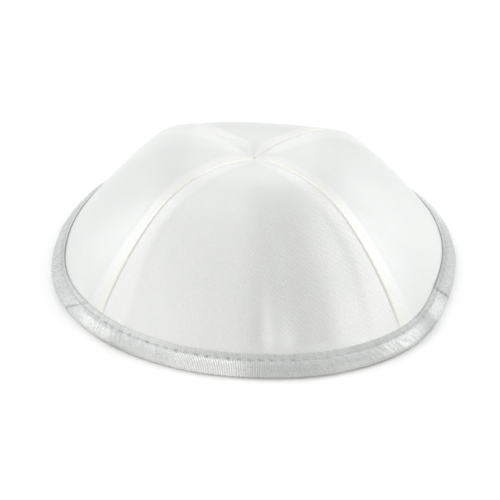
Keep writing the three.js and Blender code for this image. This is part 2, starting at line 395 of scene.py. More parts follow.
@dataclass
class ShaderTree(Tree):
    """A material's node tree, with the pattern steps that the cloths share."""

    def cloth_place(self, turn: float = 0.0, stretch: tuple[float, float] = (1.0, 1.0)) -> Socket:
        """Place on the cloth in millimetres.

        Args:
            turn: Angle of the pattern, in radians.
            stretch: Scale of the pattern along and across.

        Returns:
            A vector socket.
        """
        uv = self.add("ShaderNodeUVMap", uv_map="cloth")
        mapping = self.add("ShaderNodeMapping")
        mapping.inputs["Rotation"].default_value = (0, 0, turn)
        mapping.inputs["Scale"].default_value = (stretch[0] / MM, stretch[1] / MM, 1)
        self.link(uv.outputs[0], mapping.inputs["Vector"])
        return mapping.outputs[0]

    def place(self) -> Socket:
        """Place in the object in millimetres.

        Returns:
            A vector socket.
        """
        where = self.add("ShaderNodeTexCoord")
        size = self.add("ShaderNodeMapping")
        size.inputs["Scale"].default_value = (1 / MM, 1 / MM, 1 / MM)
        self.link(where.outputs["Object"], size.inputs["Vector"])
        return size.outputs[0]

    def mark(self, label: str) -> Socket:
        """A number that the mesh carries at each point."""
        return self.add("ShaderNodeAttribute", attribute_name=label).outputs["Fac"]

    def blend(self, share: Socket | float, a: object, b: object, way: str = "MIX") -> Socket:
        """Two colours mixed.

        Args:
            share: How much of the second one.
            a: The first colour, a socket or linear RGB.
            b: The second colour, a socket or linear RGB.
            way: The Mix node's way of blending.

        Returns:
            A colour socket.
        """
        node = self.add("ShaderNodeMix", data_type="RGBA", blend_type=way)
        for slot, value in ((0, share), (6, a), (7, b)):
            if isinstance(value, Socket):
                self.link(value, node.inputs[slot])
            else:
                node.inputs[slot].default_value = value if slot == 0 else (*value, 1)
        return node.outputs[2]

    def threads(self, place: Socket, pitch: float, wander: float) -> Socket:
        """Even lines across the x of a place.

        Args:
            place: Place in millimetres.
            pitch: Distance between lines, in millimetres.
            wander: How much the lines are unsettled.

        Returns:
            Height from 0 to 1.
        """
        wave = self.add("ShaderNodeTexWave", wave_type="BANDS", bands_direction="X", wave_profile="SIN")
        wave.inputs["Scale"].default_value = math.tau / (20 * pitch)
        wave.inputs["Distortion"].default_value = wander
        wave.inputs["Detail"].default_value = 1
        wave.inputs["Detail Scale"].default_value = 2
        self.link(place, wave.inputs["Vector"])
        return wave.outputs["Fac"]

    def clouds(self, place: Socket, size: float, detail: float = 2) -> Socket:
        """Soft random patches.

        Args:
            place: Place in millimetres.
            size: Their size, in millimetres.
            detail: Octaves of finer patches.

        Returns:
            Value from 0 to 1.
        """
        noise = self.add("ShaderNodeTexNoise")
        noise.inputs["Scale"].default_value = 1 / size
        noise.inputs["Detail"].default_value = detail
        self.link(place, noise.inputs["Vector"])
        return noise.outputs["Fac"]

    def between(self, share: Socket, low: Tint, high: Tint) -> Socket:
        """Colour between two tints.

        Args:
            share: Value whose middle half is spread from the first tint to the second.
            low: First tint, linear RGB.
            high: Second tint, linear RGB.

        Returns:
            A colour socket.
        """
        ramp = self.add("ShaderNodeValToRGB")
        ramp.color_ramp.elements[0].position = 0.3
        ramp.color_ramp.elements[1].position = 0.7
        ramp.color_ramp.elements[0].color = (*low, 1)
        ramp.color_ramp.elements[1].color = (*high, 1)
        self.link(share, ramp.inputs[0])
        return ramp.outputs[0]

    def grey(self, value: Socket) -> Socket:
        """A colour whose three parts are all the same value.

        Args:
            value: The value.

        Returns:
            A colour socket.
        """
        shade = self.add("ShaderNodeCombineXYZ")
        for slot in range(3):
            self.link(value, shade.inputs[slot])
        return shade.outputs[0]

    def spread(self, value: Socket, low: float, high: float) -> Socket:
        """A value from 0 to 1 moved to run from low to high."""
        return self.maths("ADD", self.maths("MULTIPLY", value, high - low), low)

    def bump(self, layers: list[tuple[Socket, float]]) -> Socket:
        """Normal from several heights, one over another.

        Args:
            layers: A height from 0 to 1 and its full size in millimetres, for each layer.

        Returns:
            A normal socket.
        """
        normal = None
        for height, size in layers:
            node = self.add("ShaderNodeBump")
            node.inputs["Distance"].default_value = size * MM
            self.link(height, node.inputs["Height"])
            if normal is not None:
                self.link(normal, node.inputs["Normal"])
            normal = node.outputs[0]
        return normal


@dataclass(frozen=True)
class Finish:
    """What every finish has: a name and the gloss that its shader keeps all over.

    gloss_size is the size in millimetres of the patches in which the roughness varies, and
    gloss_spread is how far it varies either way.
    """

    name: str
    roughness: float
    sheen: float = 0.0
    sheen_roughness: float = 0.4
    anisotropy: float = 0.0
    round_rim: bool = False
    specular: float = 0.5
    metallic: float = 0.0
    gloss_size: float = 1.0
    gloss_spread: float = 0.1

    def start(self) -> tuple[bpy.types.Material, ShaderTree, bpy.types.Node]:
        """New material with its shader set.

        Returns:
            The material, its tree and its shader node.
        """
        material = bpy.data.materials.new(self.name)
        material.use_nodes = True
        tree = ShaderTree(material.node_tree)
        shader = material.node_tree.nodes["Principled BSDF"]
        shader.inputs["Roughness"].default_value = self.roughness
        shader.inputs["Sheen Weight"].default_value = self.sheen
        shader.inputs["Sheen Roughness"].default_value = self.sheen_roughness
        shader.inputs["Anisotropic"].default_value = self.anisotropy
        shader.inputs["Specular IOR Level"].default_value = self.specular
        shader.inputs["Metallic"].default_value = self.metallic
        if self.anisotropy:
            kind = {"direction_type": "RADIAL", "axis": "Z"} if self.round_rim else {"uv_map": "cloth"}
            tangent = tree.add("ShaderNodeTangent", **{"direction_type": "UV_MAP", **kind})
            tree.link(tangent.outputs[0], shader.inputs["Tangent"])
        return material, tree, shader

    def vary_gloss(self, tree: ShaderTree, shader: bpy.types.Node, place: Socket) -> None:
        """Unsettles the roughness in soft patches.

        Args:
            tree: The material's tree.
            shader: Its shader node.
            place: Place in millimetres.
        """
        low, high = self.roughness - self.gloss_spread, self.roughness + self.gloss_spread
        gloss = tree.spread(tree.clouds(place, self.gloss_size, 3), low, high)
        tree.link(gloss, shader.inputs["Roughness"])


@dataclass(frozen=True)
class PanelSatin(Finish):
    """White satin: fine diagonal floats, faint slubs, a creamier white where it lies double, cream tone and
    painted highlight along rolled edges, and painted shade and highlight along folds and seams.
    """

    cool: Tint = (0.77, 0.783, 0.783)
    warm: Tint = (0.785, 0.787, 0.77)
    doubled: Tint = (0.845, 0.85, 0.845)
    doubled_share: float = 0.85
    # cream tone and painted highlight of the rolled edges
    edge: Tint = (0.865, 0.853, 0.812)
    twill_pitch: float = 0.68
    twill_turn: float = math.radians(42)
    twill_wander: float = 1.8
    twill_shade: float = 0.07
    shadow_pitch: float = 1.35
    shadow_turn: float = math.radians(42) + 0.1
    shadow_wander: float = 5.0
    slub_size: float = 0.9
    slub_stretch: tuple[float, float] = (1.0, 0.2)
    patch_size: float = 9.0
    # painted shade: how far the mark of painted shade darkens the satin
    painted_shade_depth: float = 0.12
    relief: float = 0.03

    def material(self) -> bpy.types.Material:
        """The finish as a material.

        Returns:
            The material.
        """
        material, tree, shader = self.start()
        place = tree.cloth_place()
        slanted = tree.cloth_place(self.twill_turn)
        twill = tree.threads(slanted, self.twill_pitch, self.twill_wander)
        shadow = tree.threads(tree.cloth_place(self.shadow_turn), self.shadow_pitch, self.shadow_wander)
        slubs = tree.clouds(tree.cloth_place(self.twill_turn, self.slub_stretch), self.slub_size, 4)
        tint = tree.between(tree.clouds(place, self.patch_size, 2), self.cool, self.warm)
        lined = tree.maths("MULTIPLY", tree.mark("doubled"), self.doubled_share)
        tint = tree.blend(lined, tint, self.doubled)
        # cream tone and painted highlight along the rolled edges
        tint = tree.blend(tree.mark("edge"), tint, self.edge)
        weave = tree.maths("ADD", tree.maths("ADD", twill, slubs), shadow)
        weave = tree.maths("MULTIPLY", weave, 1 / 3)
        light = tree.spread(weave, 1 - self.twill_shade, 1 + self.twill_shade * 0.4)
        # painted shade along folds and seams, and painted highlight where the mark is negative
        painted_shading = tree.maths("MULTIPLY", tree.mark("painted_shade"), self.painted_shade_depth)
        light = tree.grey(tree.maths("SUBTRACT", light, painted_shading))
        tree.link(tree.blend(1.0, tint, light, "MULTIPLY"), shader.inputs["Base Color"])
        self.vary_gloss(tree, shader, place)
        layers = [(slubs, self.relief), (shadow, self.relief * 0.6), (twill, self.relief)]
        tree.link(tree.bump(layers), shader.inputs["Normal"])
        return material


@dataclass(frozen=True)
class SatinBack(Finish):
    """The gores' inner face: the satin's own plain matt back."""

    pale: Tint = (0.78, 0.78, 0.765)
    deep: Tint = (0.70, 0.70, 0.69)
    patch_size: float = 1.4
    float_pitch: float = 1.4
    float_turn: float = math.radians(45)
    fibre_size: float = 0.5
    float_relief: float = 0.03
    fibre_relief: float = 0.07

    def material(self) -> bpy.types.Material:
        """The finish as a material.

        Returns:
            The material.
        """
        material, tree, shader = self.start()
        place = tree.cloth_place()
        fibres = tree.clouds(place, self.fibre_size, 5)
        tint = tree.between(tree.clouds(place, self.patch_size, 4), self.deep, self.pale)
        tree.link(tint, shader.inputs["Base Color"])
        floats = tree.threads(tree.cloth_place(self.float_turn), self.float_pitch, 0.2)
        layers = [(floats, self.float_relief), (fibres, self.fibre_relief)]
        tree.link(tree.bump(layers), shader.inputs["Normal"])
        return material


@dataclass(frozen=True)
class RibbonSatin(Finish):
    """Silver-grey satin ribbon, with painted sheen and painted shade from place to place and painted shade
    in its holes and creases.

    shade_between_ribs is how much painted shade darkens the ribbon between full ribs.
    """

    # painted shade and painted highlight, the two ends of the ribbon's sheen scale
    painted_shade: Tint = (0.50, 0.515, 0.51)
    painted_highlight: Tint = (0.94, 0.945, 0.945)
    # painted shade in needle holes and creases
    painted_crevice_shade: Tint = (0.24, 0.25, 0.25)
    thread_pitch: float = 0.4
    thread_wander: float = 3.0
    thread_relief: float = 0.03
    grain_size: float = 0.7
    grain_relief: float = 0.02
    mottle: float = 0.05
    mottle_size: float = 4.0
    # painted shade between the ribs
    shade_between_ribs: float = 1.0

    def material(self) -> bpy.types.Material:
        """The finish as a material.

        Returns:
            The material.
        """
        material, tree, shader = self.start()
        place = tree.place()
        fibres = tree.threads(place, self.thread_pitch, self.thread_wander)
        mottled = tree.spread(tree.clouds(place, self.mottle_size, 3), -self.mottle, self.mottle)
        # painted sheen and shade, with random mottle and rib tones
        tint = tree.blend(tree.maths("ADD", tree.mark("painted_sheen_and_rib_tone"), mottled), self.painted_shade, self.painted_highlight)
        # painted shade between the ribs, deeper where the ribs are full
        between = tree.maths("MULTIPLY", tree.mark("rib_size"), 1 - self.shade_between_ribs)
        depth = tree.grey(tree.maths("SUBTRACT", 1.0, between))
        tint = tree.blend(1.0, tint, depth, "MULTIPLY")
        # painted shade in needle holes and creases
        tint = tree.blend(tree.mark("painted_crevice_shade"), tint, self.painted_crevice_shade)
        tree.link(tint, shader.inputs["Base Color"])
        self.vary_gloss(tree, shader, place)
        grain = tree.clouds(place, self.grain_size, 2)
        layers = [(fibres, self.thread_relief), (grain, self.grain_relief)]
        tree.link(tree.bump(layers), shader.inputs["Normal"])
        return material


@dataclass(frozen=True)
class SewingThread(Finish):
    """Polyester thread with its twist."""

    colour: Tint = (0.66, 0.675, 0.68)
    twist_pitch: float = 0.3
    twist_wander: float = 0.5
    twist_shade: float = 0.82
    twist_relief: float = 0.05

    def material(self) -> bpy.types.Material:
        """The finish as a material.

        Returns:
            The material.
        """
        material, tree, shader = self.start()
        twist = tree.threads(tree.place(), self.twist_pitch, self.twist_wander)
        darker = tuple(self.twist_shade * part for part in self.colour)
        tree.link(tree.between(twist, darker, self.colour), shader.inputs["Base Color"])
        tree.link(tree.bump([(twist, self.twist_relief)]), shader.inputs["Normal"])
        return material


@dataclass(frozen=True)
class PaleFloor(Finish):
    """Matt white table, which fades to the studio's own white far away from the cap."""

    colour: Tint = (0.97, 0.97, 0.97)
    fade: tuple[float, float] = (0.55, 1.5)
    fade_light: float = 0.36

    def material(self) -> bpy.types.Material:
        """The finish as a material.

        Returns:
            The material.
        """
        material, tree, shader = self.start()
        shader.inputs["Base Color"].default_value = (*self.colour, 1)
        shader.inputs["Emission Color"].default_value = (1, 1, 1, 1)
        where = tree.add("ShaderNodeTexCoord")
        far = tree.add("ShaderNodeVectorMath", operation="LENGTH")
        tree.link(where.outputs["Object"], far.inputs[0])
        glow = tree.add("ShaderNodeMapRange", interpolation_type="SMOOTHSTEP")
        for label, value in zip(("From Min", "From Max", "To Max"), (*self.fade, self.fade_light)):
            glow.inputs[label].default_value = value
        tree.link(far.outputs["Value"], glow.inputs["Value"])
        tree.link(glow.outputs["Result"], shader.inputs["Emission Strength"])
        return material


@dataclass(frozen=True)
class Cloths:
    """The cap's own materials, each made once."""

    panel: bpy.types.Material
    back: bpy.types.Material
    ribbon: bpy.types.Material
    rib: bpy.types.Material
    thread: bpy.types.Material

    @classmethod
    def woven(cls) -> "Cloths":
        """Makes every material from its finish.

        Returns:
            All of them together.
        """
        panel = PanelSatin(
            "panel_satin", roughness=0.4, sheen=0.15, anisotropy=0.4, specular=0.6, metallic=0.25,
            gloss_size=3.5, gloss_spread=0.05,
        )
        back = SatinBack("satin_back", roughness=0.9, sheen=0.3, specular=0.2)
        ribbon = RibbonSatin(
            "ribbon_satin", roughness=0.36, anisotropy=0.5, specular=0.6, round_rim=True,
            metallic=0.2, shade_between_ribs=0.68,
        )
        rib = RibbonSatin(
            "rib_satin", roughness=0.28, anisotropy=0.6, specular=0.9, round_rim=True, metallic=0.35
        )
        thread = SewingThread("sewing_thread", roughness=0.42, sheen=0.2)
        return cls(*(finish.material() for finish in (panel, back, ribbon, rib, thread)))


# ------------------------------------------------------------------------------------------------
# The gores
# ------------------------------------------------------------------------------------------------


@dataclass(frozen=True)
class SoftFold:
    """A soft ridge, valley or band of painted shade down a gore, from nothing at its top to its full at the
    rim.

    top and foot are pairs of across and reach. Widths are half widths, and a valley's height is
    negative. painted_shade_amount is the painted shade along it, and painted highlight where it's negative.
    """

    top: tuple[float, float]
    foot: tuple[float, float]
    width_at_top: float
    width_at_foot: float
    height: float = 0.0
    # painted shade along the fold; a negative value is painted highlight
    painted_shade_amount: float = 0.0
    full_from: float = 1.0
    squareness: float = 3.4

    def shape(self, across: np.ndarray, reach: np.ndarray, width: np.ndarray) -> np.ndarray:
        """Share of the fold's height from place to place.

        Args:
            across: Grid of shares across.
            reach: Column of shares out.
            width: Column of the gore's widths.

        Returns:
            Grid of numbers from 0 to 1.
        """
        share = np.clip((reach - self.top[1]) / (self.foot[1] - self.top[1]), 0, 1)
        line = self.top[0] + (self.foot[0] - self.top[0]) * share
        half_width = self.width_at_top + (self.width_at_foot - self.width_at_top) * share
        side = np.abs(across - line) * width / half_width
        return smooth(share, 0, self.full_from) * np.exp(-(side ** self.squareness))


@dataclass
class Gore:
    """One cloth panel between two seams, with its edges turned back and pressed flat.

    near_over and far_over are how far its edges roll over their neighbours', from 0 to 1. painted_lift
    is painted highlight over the whole gore, in the unit of the folds' painted shade. opening is how
    much wider the turned-back edge shows at the rim, from the share opens_from of the full width.
    edge_reach is how far in from a seam the roll and the puckers carry. cream_and_highlight_bands
    holds the strength of each band of cream tone and painted highlight along a rolled edge, and the
    distances where it starts and is full. sag_reach holds the reaches where the sag starts, is full
    and starts to end. seam_shade_width is the half width of the line of painted shade where the gore
    goes under its neighbour, and seam_shade_depth its depth.
    flare is how much wider the cloth's pattern is cut at the rim. edge_columns are distances from a
    seam in millimetres, where the mesh is fine.
    """

    form: CapForm
    cloths: Cloths
    node: str
    near: Seam
    far: Seam
    seed: int
    folds: tuple[SoftFold, ...] = ()
    # painted highlight that lifts the whole gore
    painted_lift: float = 0.0
    cloth: float = 0.55 * MM
    near_over: float = 0.0
    far_over: float = 0.0
    roll_over: float = 1.5 * MM
    roll_under: float = 0.3 * MM
    roll_power: float = 0.6
    over: float = 0.42 * MM
    under: float = 0.12 * MM
    sag: float = 0.75 * MM
    sag_reach: tuple[float, float, float] = (0.05, 0.4, 0.6)
    sag_power: float = 0.8
    allowance: float = 8 * MM
    opening: float = 1.0
    allowance_rise: float = 0.3 * MM
    allowance_edge: float = 1.9 * MM
    flap: float = 0.5 * MM
    half_gap: float = 0.04 * MM
    opens_from: float = 0.7
    edge_reach: float = 2.6 * MM
    # cream tone and painted highlight along a rolled edge
    cream_and_highlight_bands: tuple[tuple[float, float, float], ...] = (
        (0.4, 7.5 * MM, 3 * MM),
        (0.5, 4.2 * MM, 1.6 * MM),
    )
    # a thin line of painted shade where the gore goes under its neighbour
    seam_shade_width: float = 0.4 * MM
    seam_shade_depth: float = 1.1
    # how much less painted shade lies over the doubled cloth
    shade_cut_where_doubled: float = 0.5
    crown_gap: float = 0.5 * MM
    seam_plane: float = 3 * MM
    flare: float = 0.1
    inner_swell: float = 0.2 * MM
    pucker_pitch: float = 3.4 * MM
    pucker_height: float = 0.07 * MM
    pucker_beat: float = 23 * MM
    pucker_sway: float = 9 * MM
    pucker_start: float = 0.9 * MM
    swell_height: float = 0.16 * MM
    swell_margin: tuple[float, float] = (2 * MM, 16 * MM)
    swell_count: int = 6
    swell_pitches: tuple[float, float] = (26, 62)
    grip_length: float = 5 * MM
    channel_foot: float = 0.4 * MM
    hem: float = 2 * MM
    rows: int = 130
    rows_in_channel: int = 7
    columns_between: int = 32
    edge_columns: tuple[float, ...] = (
        0, 0.1, 0.22, 0.36, 0.52, 0.72, 1.0, 1.5, 2.2, 3.0, 4.0,
        5.0, 6.0, 6.8, 7.3, 7.7, 8.0, 8.15, 8.5, 9.0, 9.8, 11.0,
    )
    body: str = "root"
    slot: str = "panel_satin"
    flat: tuple[float, float] = (0.0, 0.0)

    @property
    def span(self) -> tuple[float, float]:
        """Azimuths of the two seams, the far one ahead of the near one."""
        return self.near.value, self.near.value + (self.far.value - self.near.value) % 360

    def distances(self, width: np.ndarray) -> np.ndarray:
        """Distance of each column from the near seam.

        Args:
            width: Column of the gore's widths.

        Returns:
            Grid of distances, close together beside the seams.
        """
        edge = np.array(self.edge_columns) * MM
        half = width / 2
        squeeze = np.minimum(1, half / (2 * edge[-1]))
        near = edge * squeeze
        share = np.arange(1, self.columns_between + 1) / self.columns_between
        inner = near[:, -1:] + (half - near[:, -1:]) * share
        left = np.concatenate([near, inner], axis=1)
        return np.concatenate([left, width - left[:, -2::-1]], axis=1)

    def squeeze(self, width: np.ndarray, share: float) -> np.ndarray:
        """How much the turned-back edges narrow near the crown, where the gore is narrow itself."""
        return np.minimum(1, width / 2 / (share * self.allowance))

    def relief(
        self, across: np.ndarray, reach: np.ndarray, width: np.ndarray, run: np.ndarray
    ) -> np.ndarray:
        """Height of the outer face over the smooth form.

        Args:
            across: Grid of shares across.
            reach: Column of shares out.
            width: Column of the gore's widths.
            run: Grid of distances down the gore from the crown.

        Returns:
            Grid of heights.
        """
        rng = np.random.default_rng(self.seed)
        start, full, end = self.sag_reach
        belly = smooth(reach, start, full) * smooth(reach, 1, end)
        height = self.rolled_edges(across, width)
        height = height - self.sag * np.sin(math.pi * across) ** self.sag_power * belly
        height = height + self.puckers(rng, across, width, run)
        height = height + self.swells(rng, across, width, run)
        for fold in self.folds:
            height = height + fold.height * fold.shape(across, reach, width)
        return height

    def rolled_edges(self, across: np.ndarray, width: np.ndarray) -> np.ndarray:
        """Height that the turned-back edges and their rolls give the outer face.

        Args:
            across: Grid of shares across.
            width: Column of the gore's widths.

        Returns:
            Grid of heights.
        """
        squeeze = self.squeeze(width, 2)
        height = self.allowance_rise * self.doubled(across, width) * squeeze
        for share, over in ((across, self.near_over), (1 - across, self.far_over)):
            distance = share * width
            roll = self.roll_under + (self.roll_over - self.roll_under) * over
            roll = roll * squeeze ** self.roll_power
            short = np.clip(roll - distance, 0, None)
            height = height - (roll - np.sqrt(np.maximum(roll * roll - short * short, 0)))
            step = ((self.over + self.under) * over - self.under) * squeeze
            height = height + step * np.exp(-((distance / self.edge_reach) ** 2))
        return height

    def puckers(
        self, rng: np.random.Generator, across: np.ndarray, width: np.ndarray, run: np.ndarray
    ) -> np.ndarray:
        """Small waves that the stitching draws up along each seam.

        Args:
            rng: Where the random draws come from.
            across: Grid of shares across.
            width: Column of the gore's widths.
            run: Grid of distances down the gore from the crown.

        Returns:
            Grid of heights.
        """
        height = np.zeros_like(run)
        for share in (across, 1 - across):
            distance = share * width
            beat = 0.5 + 0.5 * np.sin(run / self.pucker_beat + rng.uniform(0, math.tau))
            sway = 2 * np.sin(run / self.pucker_sway)
            wave = np.sin(math.tau * (run + 0.5 * distance) / self.pucker_pitch + sway)
            fade = np.exp(-distance / self.edge_reach) * smooth(distance, 0, self.pucker_start)
            height = height + self.pucker_height * beat * wave * fade
        return height * self.squeeze(width, 2)

    def swells(
        self, rng: np.random.Generator, across: np.ndarray, width: np.ndarray, run: np.ndarray
    ) -> np.ndarray:
        """Long faint waves of unpressed cloth, away from the seams.

        Args:
            rng: Where the random draws come from.
            across: Grid of shares across.
            width: Column of the gore's widths.
            run: Grid of distances down the gore from the crown.

        Returns:
            Grid of heights.
        """
        total = np.zeros_like(run)
        x = (across - 0.5) * width
        for _ in range(self.swell_count):
            pitch = rng.uniform(*self.swell_pitches) * MM
            turn = rng.uniform(0, math.pi)
            place = x * math.cos(turn) + run * math.sin(turn)
            wave = np.sin(math.tau * place / pitch + rng.uniform(0, math.tau))
            total = total + wave * rng.uniform(0.3, 1)
        side = np.minimum(across, 1 - across) * width
        return self.swell_height * total / 2 * smooth(side, *self.swell_margin)

    def doubled(self, across: np.ndarray, width: np.ndarray) -> np.ndarray:
        """Where the turned-back allowance lies under the cloth.

        Args:
            across: Grid of shares across.
            width: Column of the gore's widths.

        Returns:
            Grid of numbers, 1 over the allowance and 0 beyond its soft edge.
        """
        side = np.minimum(across, 1 - across) * width
        opened = smooth(width, self.opens_from * width.max(), width.max())
        edge = self.allowance * (1 + (self.opening - 1) * opened)
        soft = self.allowance_edge
        return smooth(side / self.squeeze(width, 1.3) - edge, soft, -soft)

    def marks(self, across: np.ndarray, reach: np.ndarray, width: np.ndarray) -> dict[str, np.ndarray]:
        """Marks that the satin's finish reads: doubled cloth, cream tone and painted highlight on rolled
        edges, and painted shade and highlight along folds and seams.

        Args:
            across: Grid of shares across.
            reach: Column of shares out.
            width: Column of the gore's widths.

        Returns:
            A grid of numbers from 0 to 1 under each name.
        """
        over = np.where(across < 0.5, self.near_over, self.far_over)
        side = np.minimum(across, 1 - across) * width
        # cream tone and painted highlight along the rolled edges, where an edge rolls over
        edge = over * sum(share * smooth(side, start, full) for share, start, full in self.cream_and_highlight_bands)
        doubled = self.doubled(across, width)
        # painted shade along folds and seams, less over doubled cloth; negative values are painted highlight
        fold_shading = (fold.painted_shade_amount * fold.shape(across, reach, width) for fold in self.folds)
        painted_shade = sum(fold_shading, 0 * across)
        # painted shade in a thin line at a seam where the gore goes under its neighbour
        under = np.clip(1 - 8 * over, 0, 1) * np.exp(-((side / self.seam_shade_width) ** 2))
        painted_shade = painted_shade * (1 - self.shade_cut_where_doubled * doubled) + self.seam_shade_depth * under - self.painted_lift
        return {"doubled": doubled, "edge": edge, "painted_shade": painted_shade}

    def faces_of_cloth(self) -> tuple[np.ndarray, np.ndarray, np.ndarray, dict[str, np.ndarray]]:
        """The two faces of the cloth.

        Returns:
            Grid of the outer face, grid of the inner face, grid of places on the cloth, and the
            marks that the satin's finish reads.
        """
        form, span = self.form, self.span
        start = self.crown_gap / form.rim_radius(np.array(0.0))
        reach = start + (1 - start) * np.linspace(0, 1, self.rows) ** 1.05
        chord = form.seam_line(span[0], reach) - form.seam_line(span[1], reach)
        width = np.linalg.norm(chord, axis=1)[:, None]
        across = self.distances(width) / width
        base = form.gore_face(span, across, reach)
        up = np.linspace(form.outer_width, self.channel_foot, self.rows_in_channel + 1)[1:]
        azimuth = span[0] + (span[1] - span[0]) * across[-1]
        channel = form.rim_wall(azimuth[None], up[:, None], form.cloth / 2)
        base = np.concatenate([base, channel])
        held = len(up)
        across = np.concatenate([across, np.repeat(across[-1:], held, axis=0)])
        width = np.concatenate([width, np.repeat(width[-1:], held, axis=0)])
        reach = np.concatenate([reach, np.ones(held)])[:, None]
        steps = np.linalg.norm(np.diff(base, axis=0), axis=2)
        run = np.concatenate([np.zeros((1, steps.shape[1])), np.cumsum(steps, axis=0)])
        normal = self.normals(base, across, width)
        inside = np.concatenate([np.ones(self.rows), np.zeros(held)])[:, None]
        grip = smooth(run[self.rows - 1] - run, -0.5 * MM, self.grip_length)
        relief = self.relief(across, reach, width, run)
        outer = base + normal * (relief * grip)[..., None]
        side = np.minimum(across, 1 - across) * width
        past = side / self.squeeze(width, 2) - self.allowance
        turned = smooth(past, 0.1 * MM, -0.1 * MM) * inside
        swell = np.minimum(relief * smooth(side, 0.6 * MM, 3 * MM) * grip, self.inner_swell)
        inner = base + normal * (swell - self.cloth - self.flap * turned)[..., None]
        place = np.stack([(across - 0.5) * width * (1 + self.flare * reach), run], axis=2)
        middle = form.middle()
        down_the_middle = run[:, run.shape[1] // 2].max()
        self.flat = (float(width.max()) + 2 * self.allowance, float(down_the_middle) + self.hem)
        return outer - middle, inner - middle, place, self.marks(across, reach, width)

    def normals(self, base: np.ndarray, across: np.ndarray, width: np.ndarray) -> np.ndarray:
        """Outward directions, turned into the seam's own plane along each seam.

        Args:
            base: Grid of the smooth face.
            across: Grid of shares across.
            width: Column of the gore's widths.

        Returns:
            Grid of unit vectors.
        """
        normal = grid_normals(base)
        for azimuth, share in ((self.span[0], across), (self.span[1], 1 - across)):
            square = polar(np.array(azimuth + 90), 1.0, 0.0)
            near = 1 - smooth(share * width, 0, self.seam_plane)
            normal = normal - (normal @ square)[..., None] * near[..., None] * square
            normal = unit(normal)
        return normal

    def build(self) -> bpy.types.Object:
        """Makes the gore as one closed sheet of cloth.

        Returns:
            The piece.
        """
        outer, inner, place, marks = self.faces_of_cloth()
        for grid in (outer, inner):
            for column, turn in ((0, 90), (-1, -90)):
                azimuth = self.span[0] if column == 0 else self.span[1]
                grid[:, column] += polar(np.array(azimuth + turn), self.half_gap, 0.0)
        rows, columns = outer.shape[:2]
        points = np.concatenate([outer.reshape(-1, 3), inner.reshape(-1, 3)])
        uv = np.concatenate([place.reshape(-1, 2)] * 2)
        index = np.arange(rows * columns).reshape(rows, columns)
        under = index + rows * columns
        quads = [
            np.stack([index[:-1, :-1], index[1:, :-1], index[1:, 1:], index[:-1, 1:]], -1).reshape(-1, 4),
            np.stack([under[:-1, :-1], under[:-1, 1:], under[1:, 1:], under[1:, :-1]], -1).reshape(-1, 4),
            np.stack([index[:-1, 0], under[:-1, 0], under[1:, 0], index[1:, 0]], -1),
            np.stack([index[:-1, -1], index[1:, -1], under[1:, -1], under[:-1, -1]], -1),
            np.stack([index[0, :-1], index[0, 1:], under[0, 1:], under[0, :-1]], -1),
            np.stack([index[-1, :-1], under[-1, :-1], under[-1, 1:], index[-1, 1:]], -1),
        ]
        slots = np.concatenate([np.full(len(q), 1 if k == 1 else 0) for k, q in enumerate(quads)])
        faces = np.concatenate(quads).tolist()
        marks = {label: np.stack([mark, np.zeros_like(mark)]) for label, mark in marks.items()}
        materials = [self.cloths.panel, self.cloths.back]
        return mesh_object(self.node + "_cloth", points, faces, materials, uv, slots, marks)

    def dress(self, piece: bpy.types.Object) -> None:
        """Puts the piece in the frame in place of its solid.

        Args:
            piece: The gore.
        """
        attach(piece, self.body)
        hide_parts(self.node)


# ------------------------------------------------------------------------------------------------
# The ribbon round the rim
# ------------------------------------------------------------------------------------------------


@dataclass(frozen=True)
class Crease:
    """A sharp fold line across the ribbon, from the fold at its foot to its upper edge.

    lip is how far the ribbon behind the line stands over the ribbon in front of it, and fades_from
    is how far up the wall the line starts to fade.
    """

    azimuth: float
    lean: float
    depth: float
    half_width: float
    lip: float = 0.0
    fades_from: float = 6.4 * MM


class Band(Enum):
    """Strips of the ribbon's width, each by where it starts and ends from the outer edge."""

    WHOLE = (-5 * MM, 25 * MM)
    SELVEDGE = (-5 * MM, 2.2 * MM)
    FACE = (2.8 * MM, 9.5 * MM)
    LOWER_FACE = (3.8 * MM, 9.5 * MM)
    FACE_AND_FOOT = (2.8 * MM, 12 * MM)
    FOOT = (6.2 * MM, 9.5 * MM)
    UNDER = (7.7 * MM, 13 * MM)


@dataclass(frozen=True)
class Stretch:
    """A length of the rim: its middle azimuth, half its length in degrees, and how much is done there."""

    azimuth: float
    half_width: float
    amount: float

    def side(self, azimuth: np.ndarray) -> np.ndarray:
        """How far each azimuth lies from the middle, in half widths."""
        return degrees_from(self.azimuth, azimuth) / self.half_width


@dataclass(frozen=True)
class PaintedSheen(Stretch):
    """A stretch of the ribbon with painted sheen; a negative amount paints shade.

    The amount runs from -1, painted shade, to 1, painted highlight.
    """

    band: Band = Band.FACE


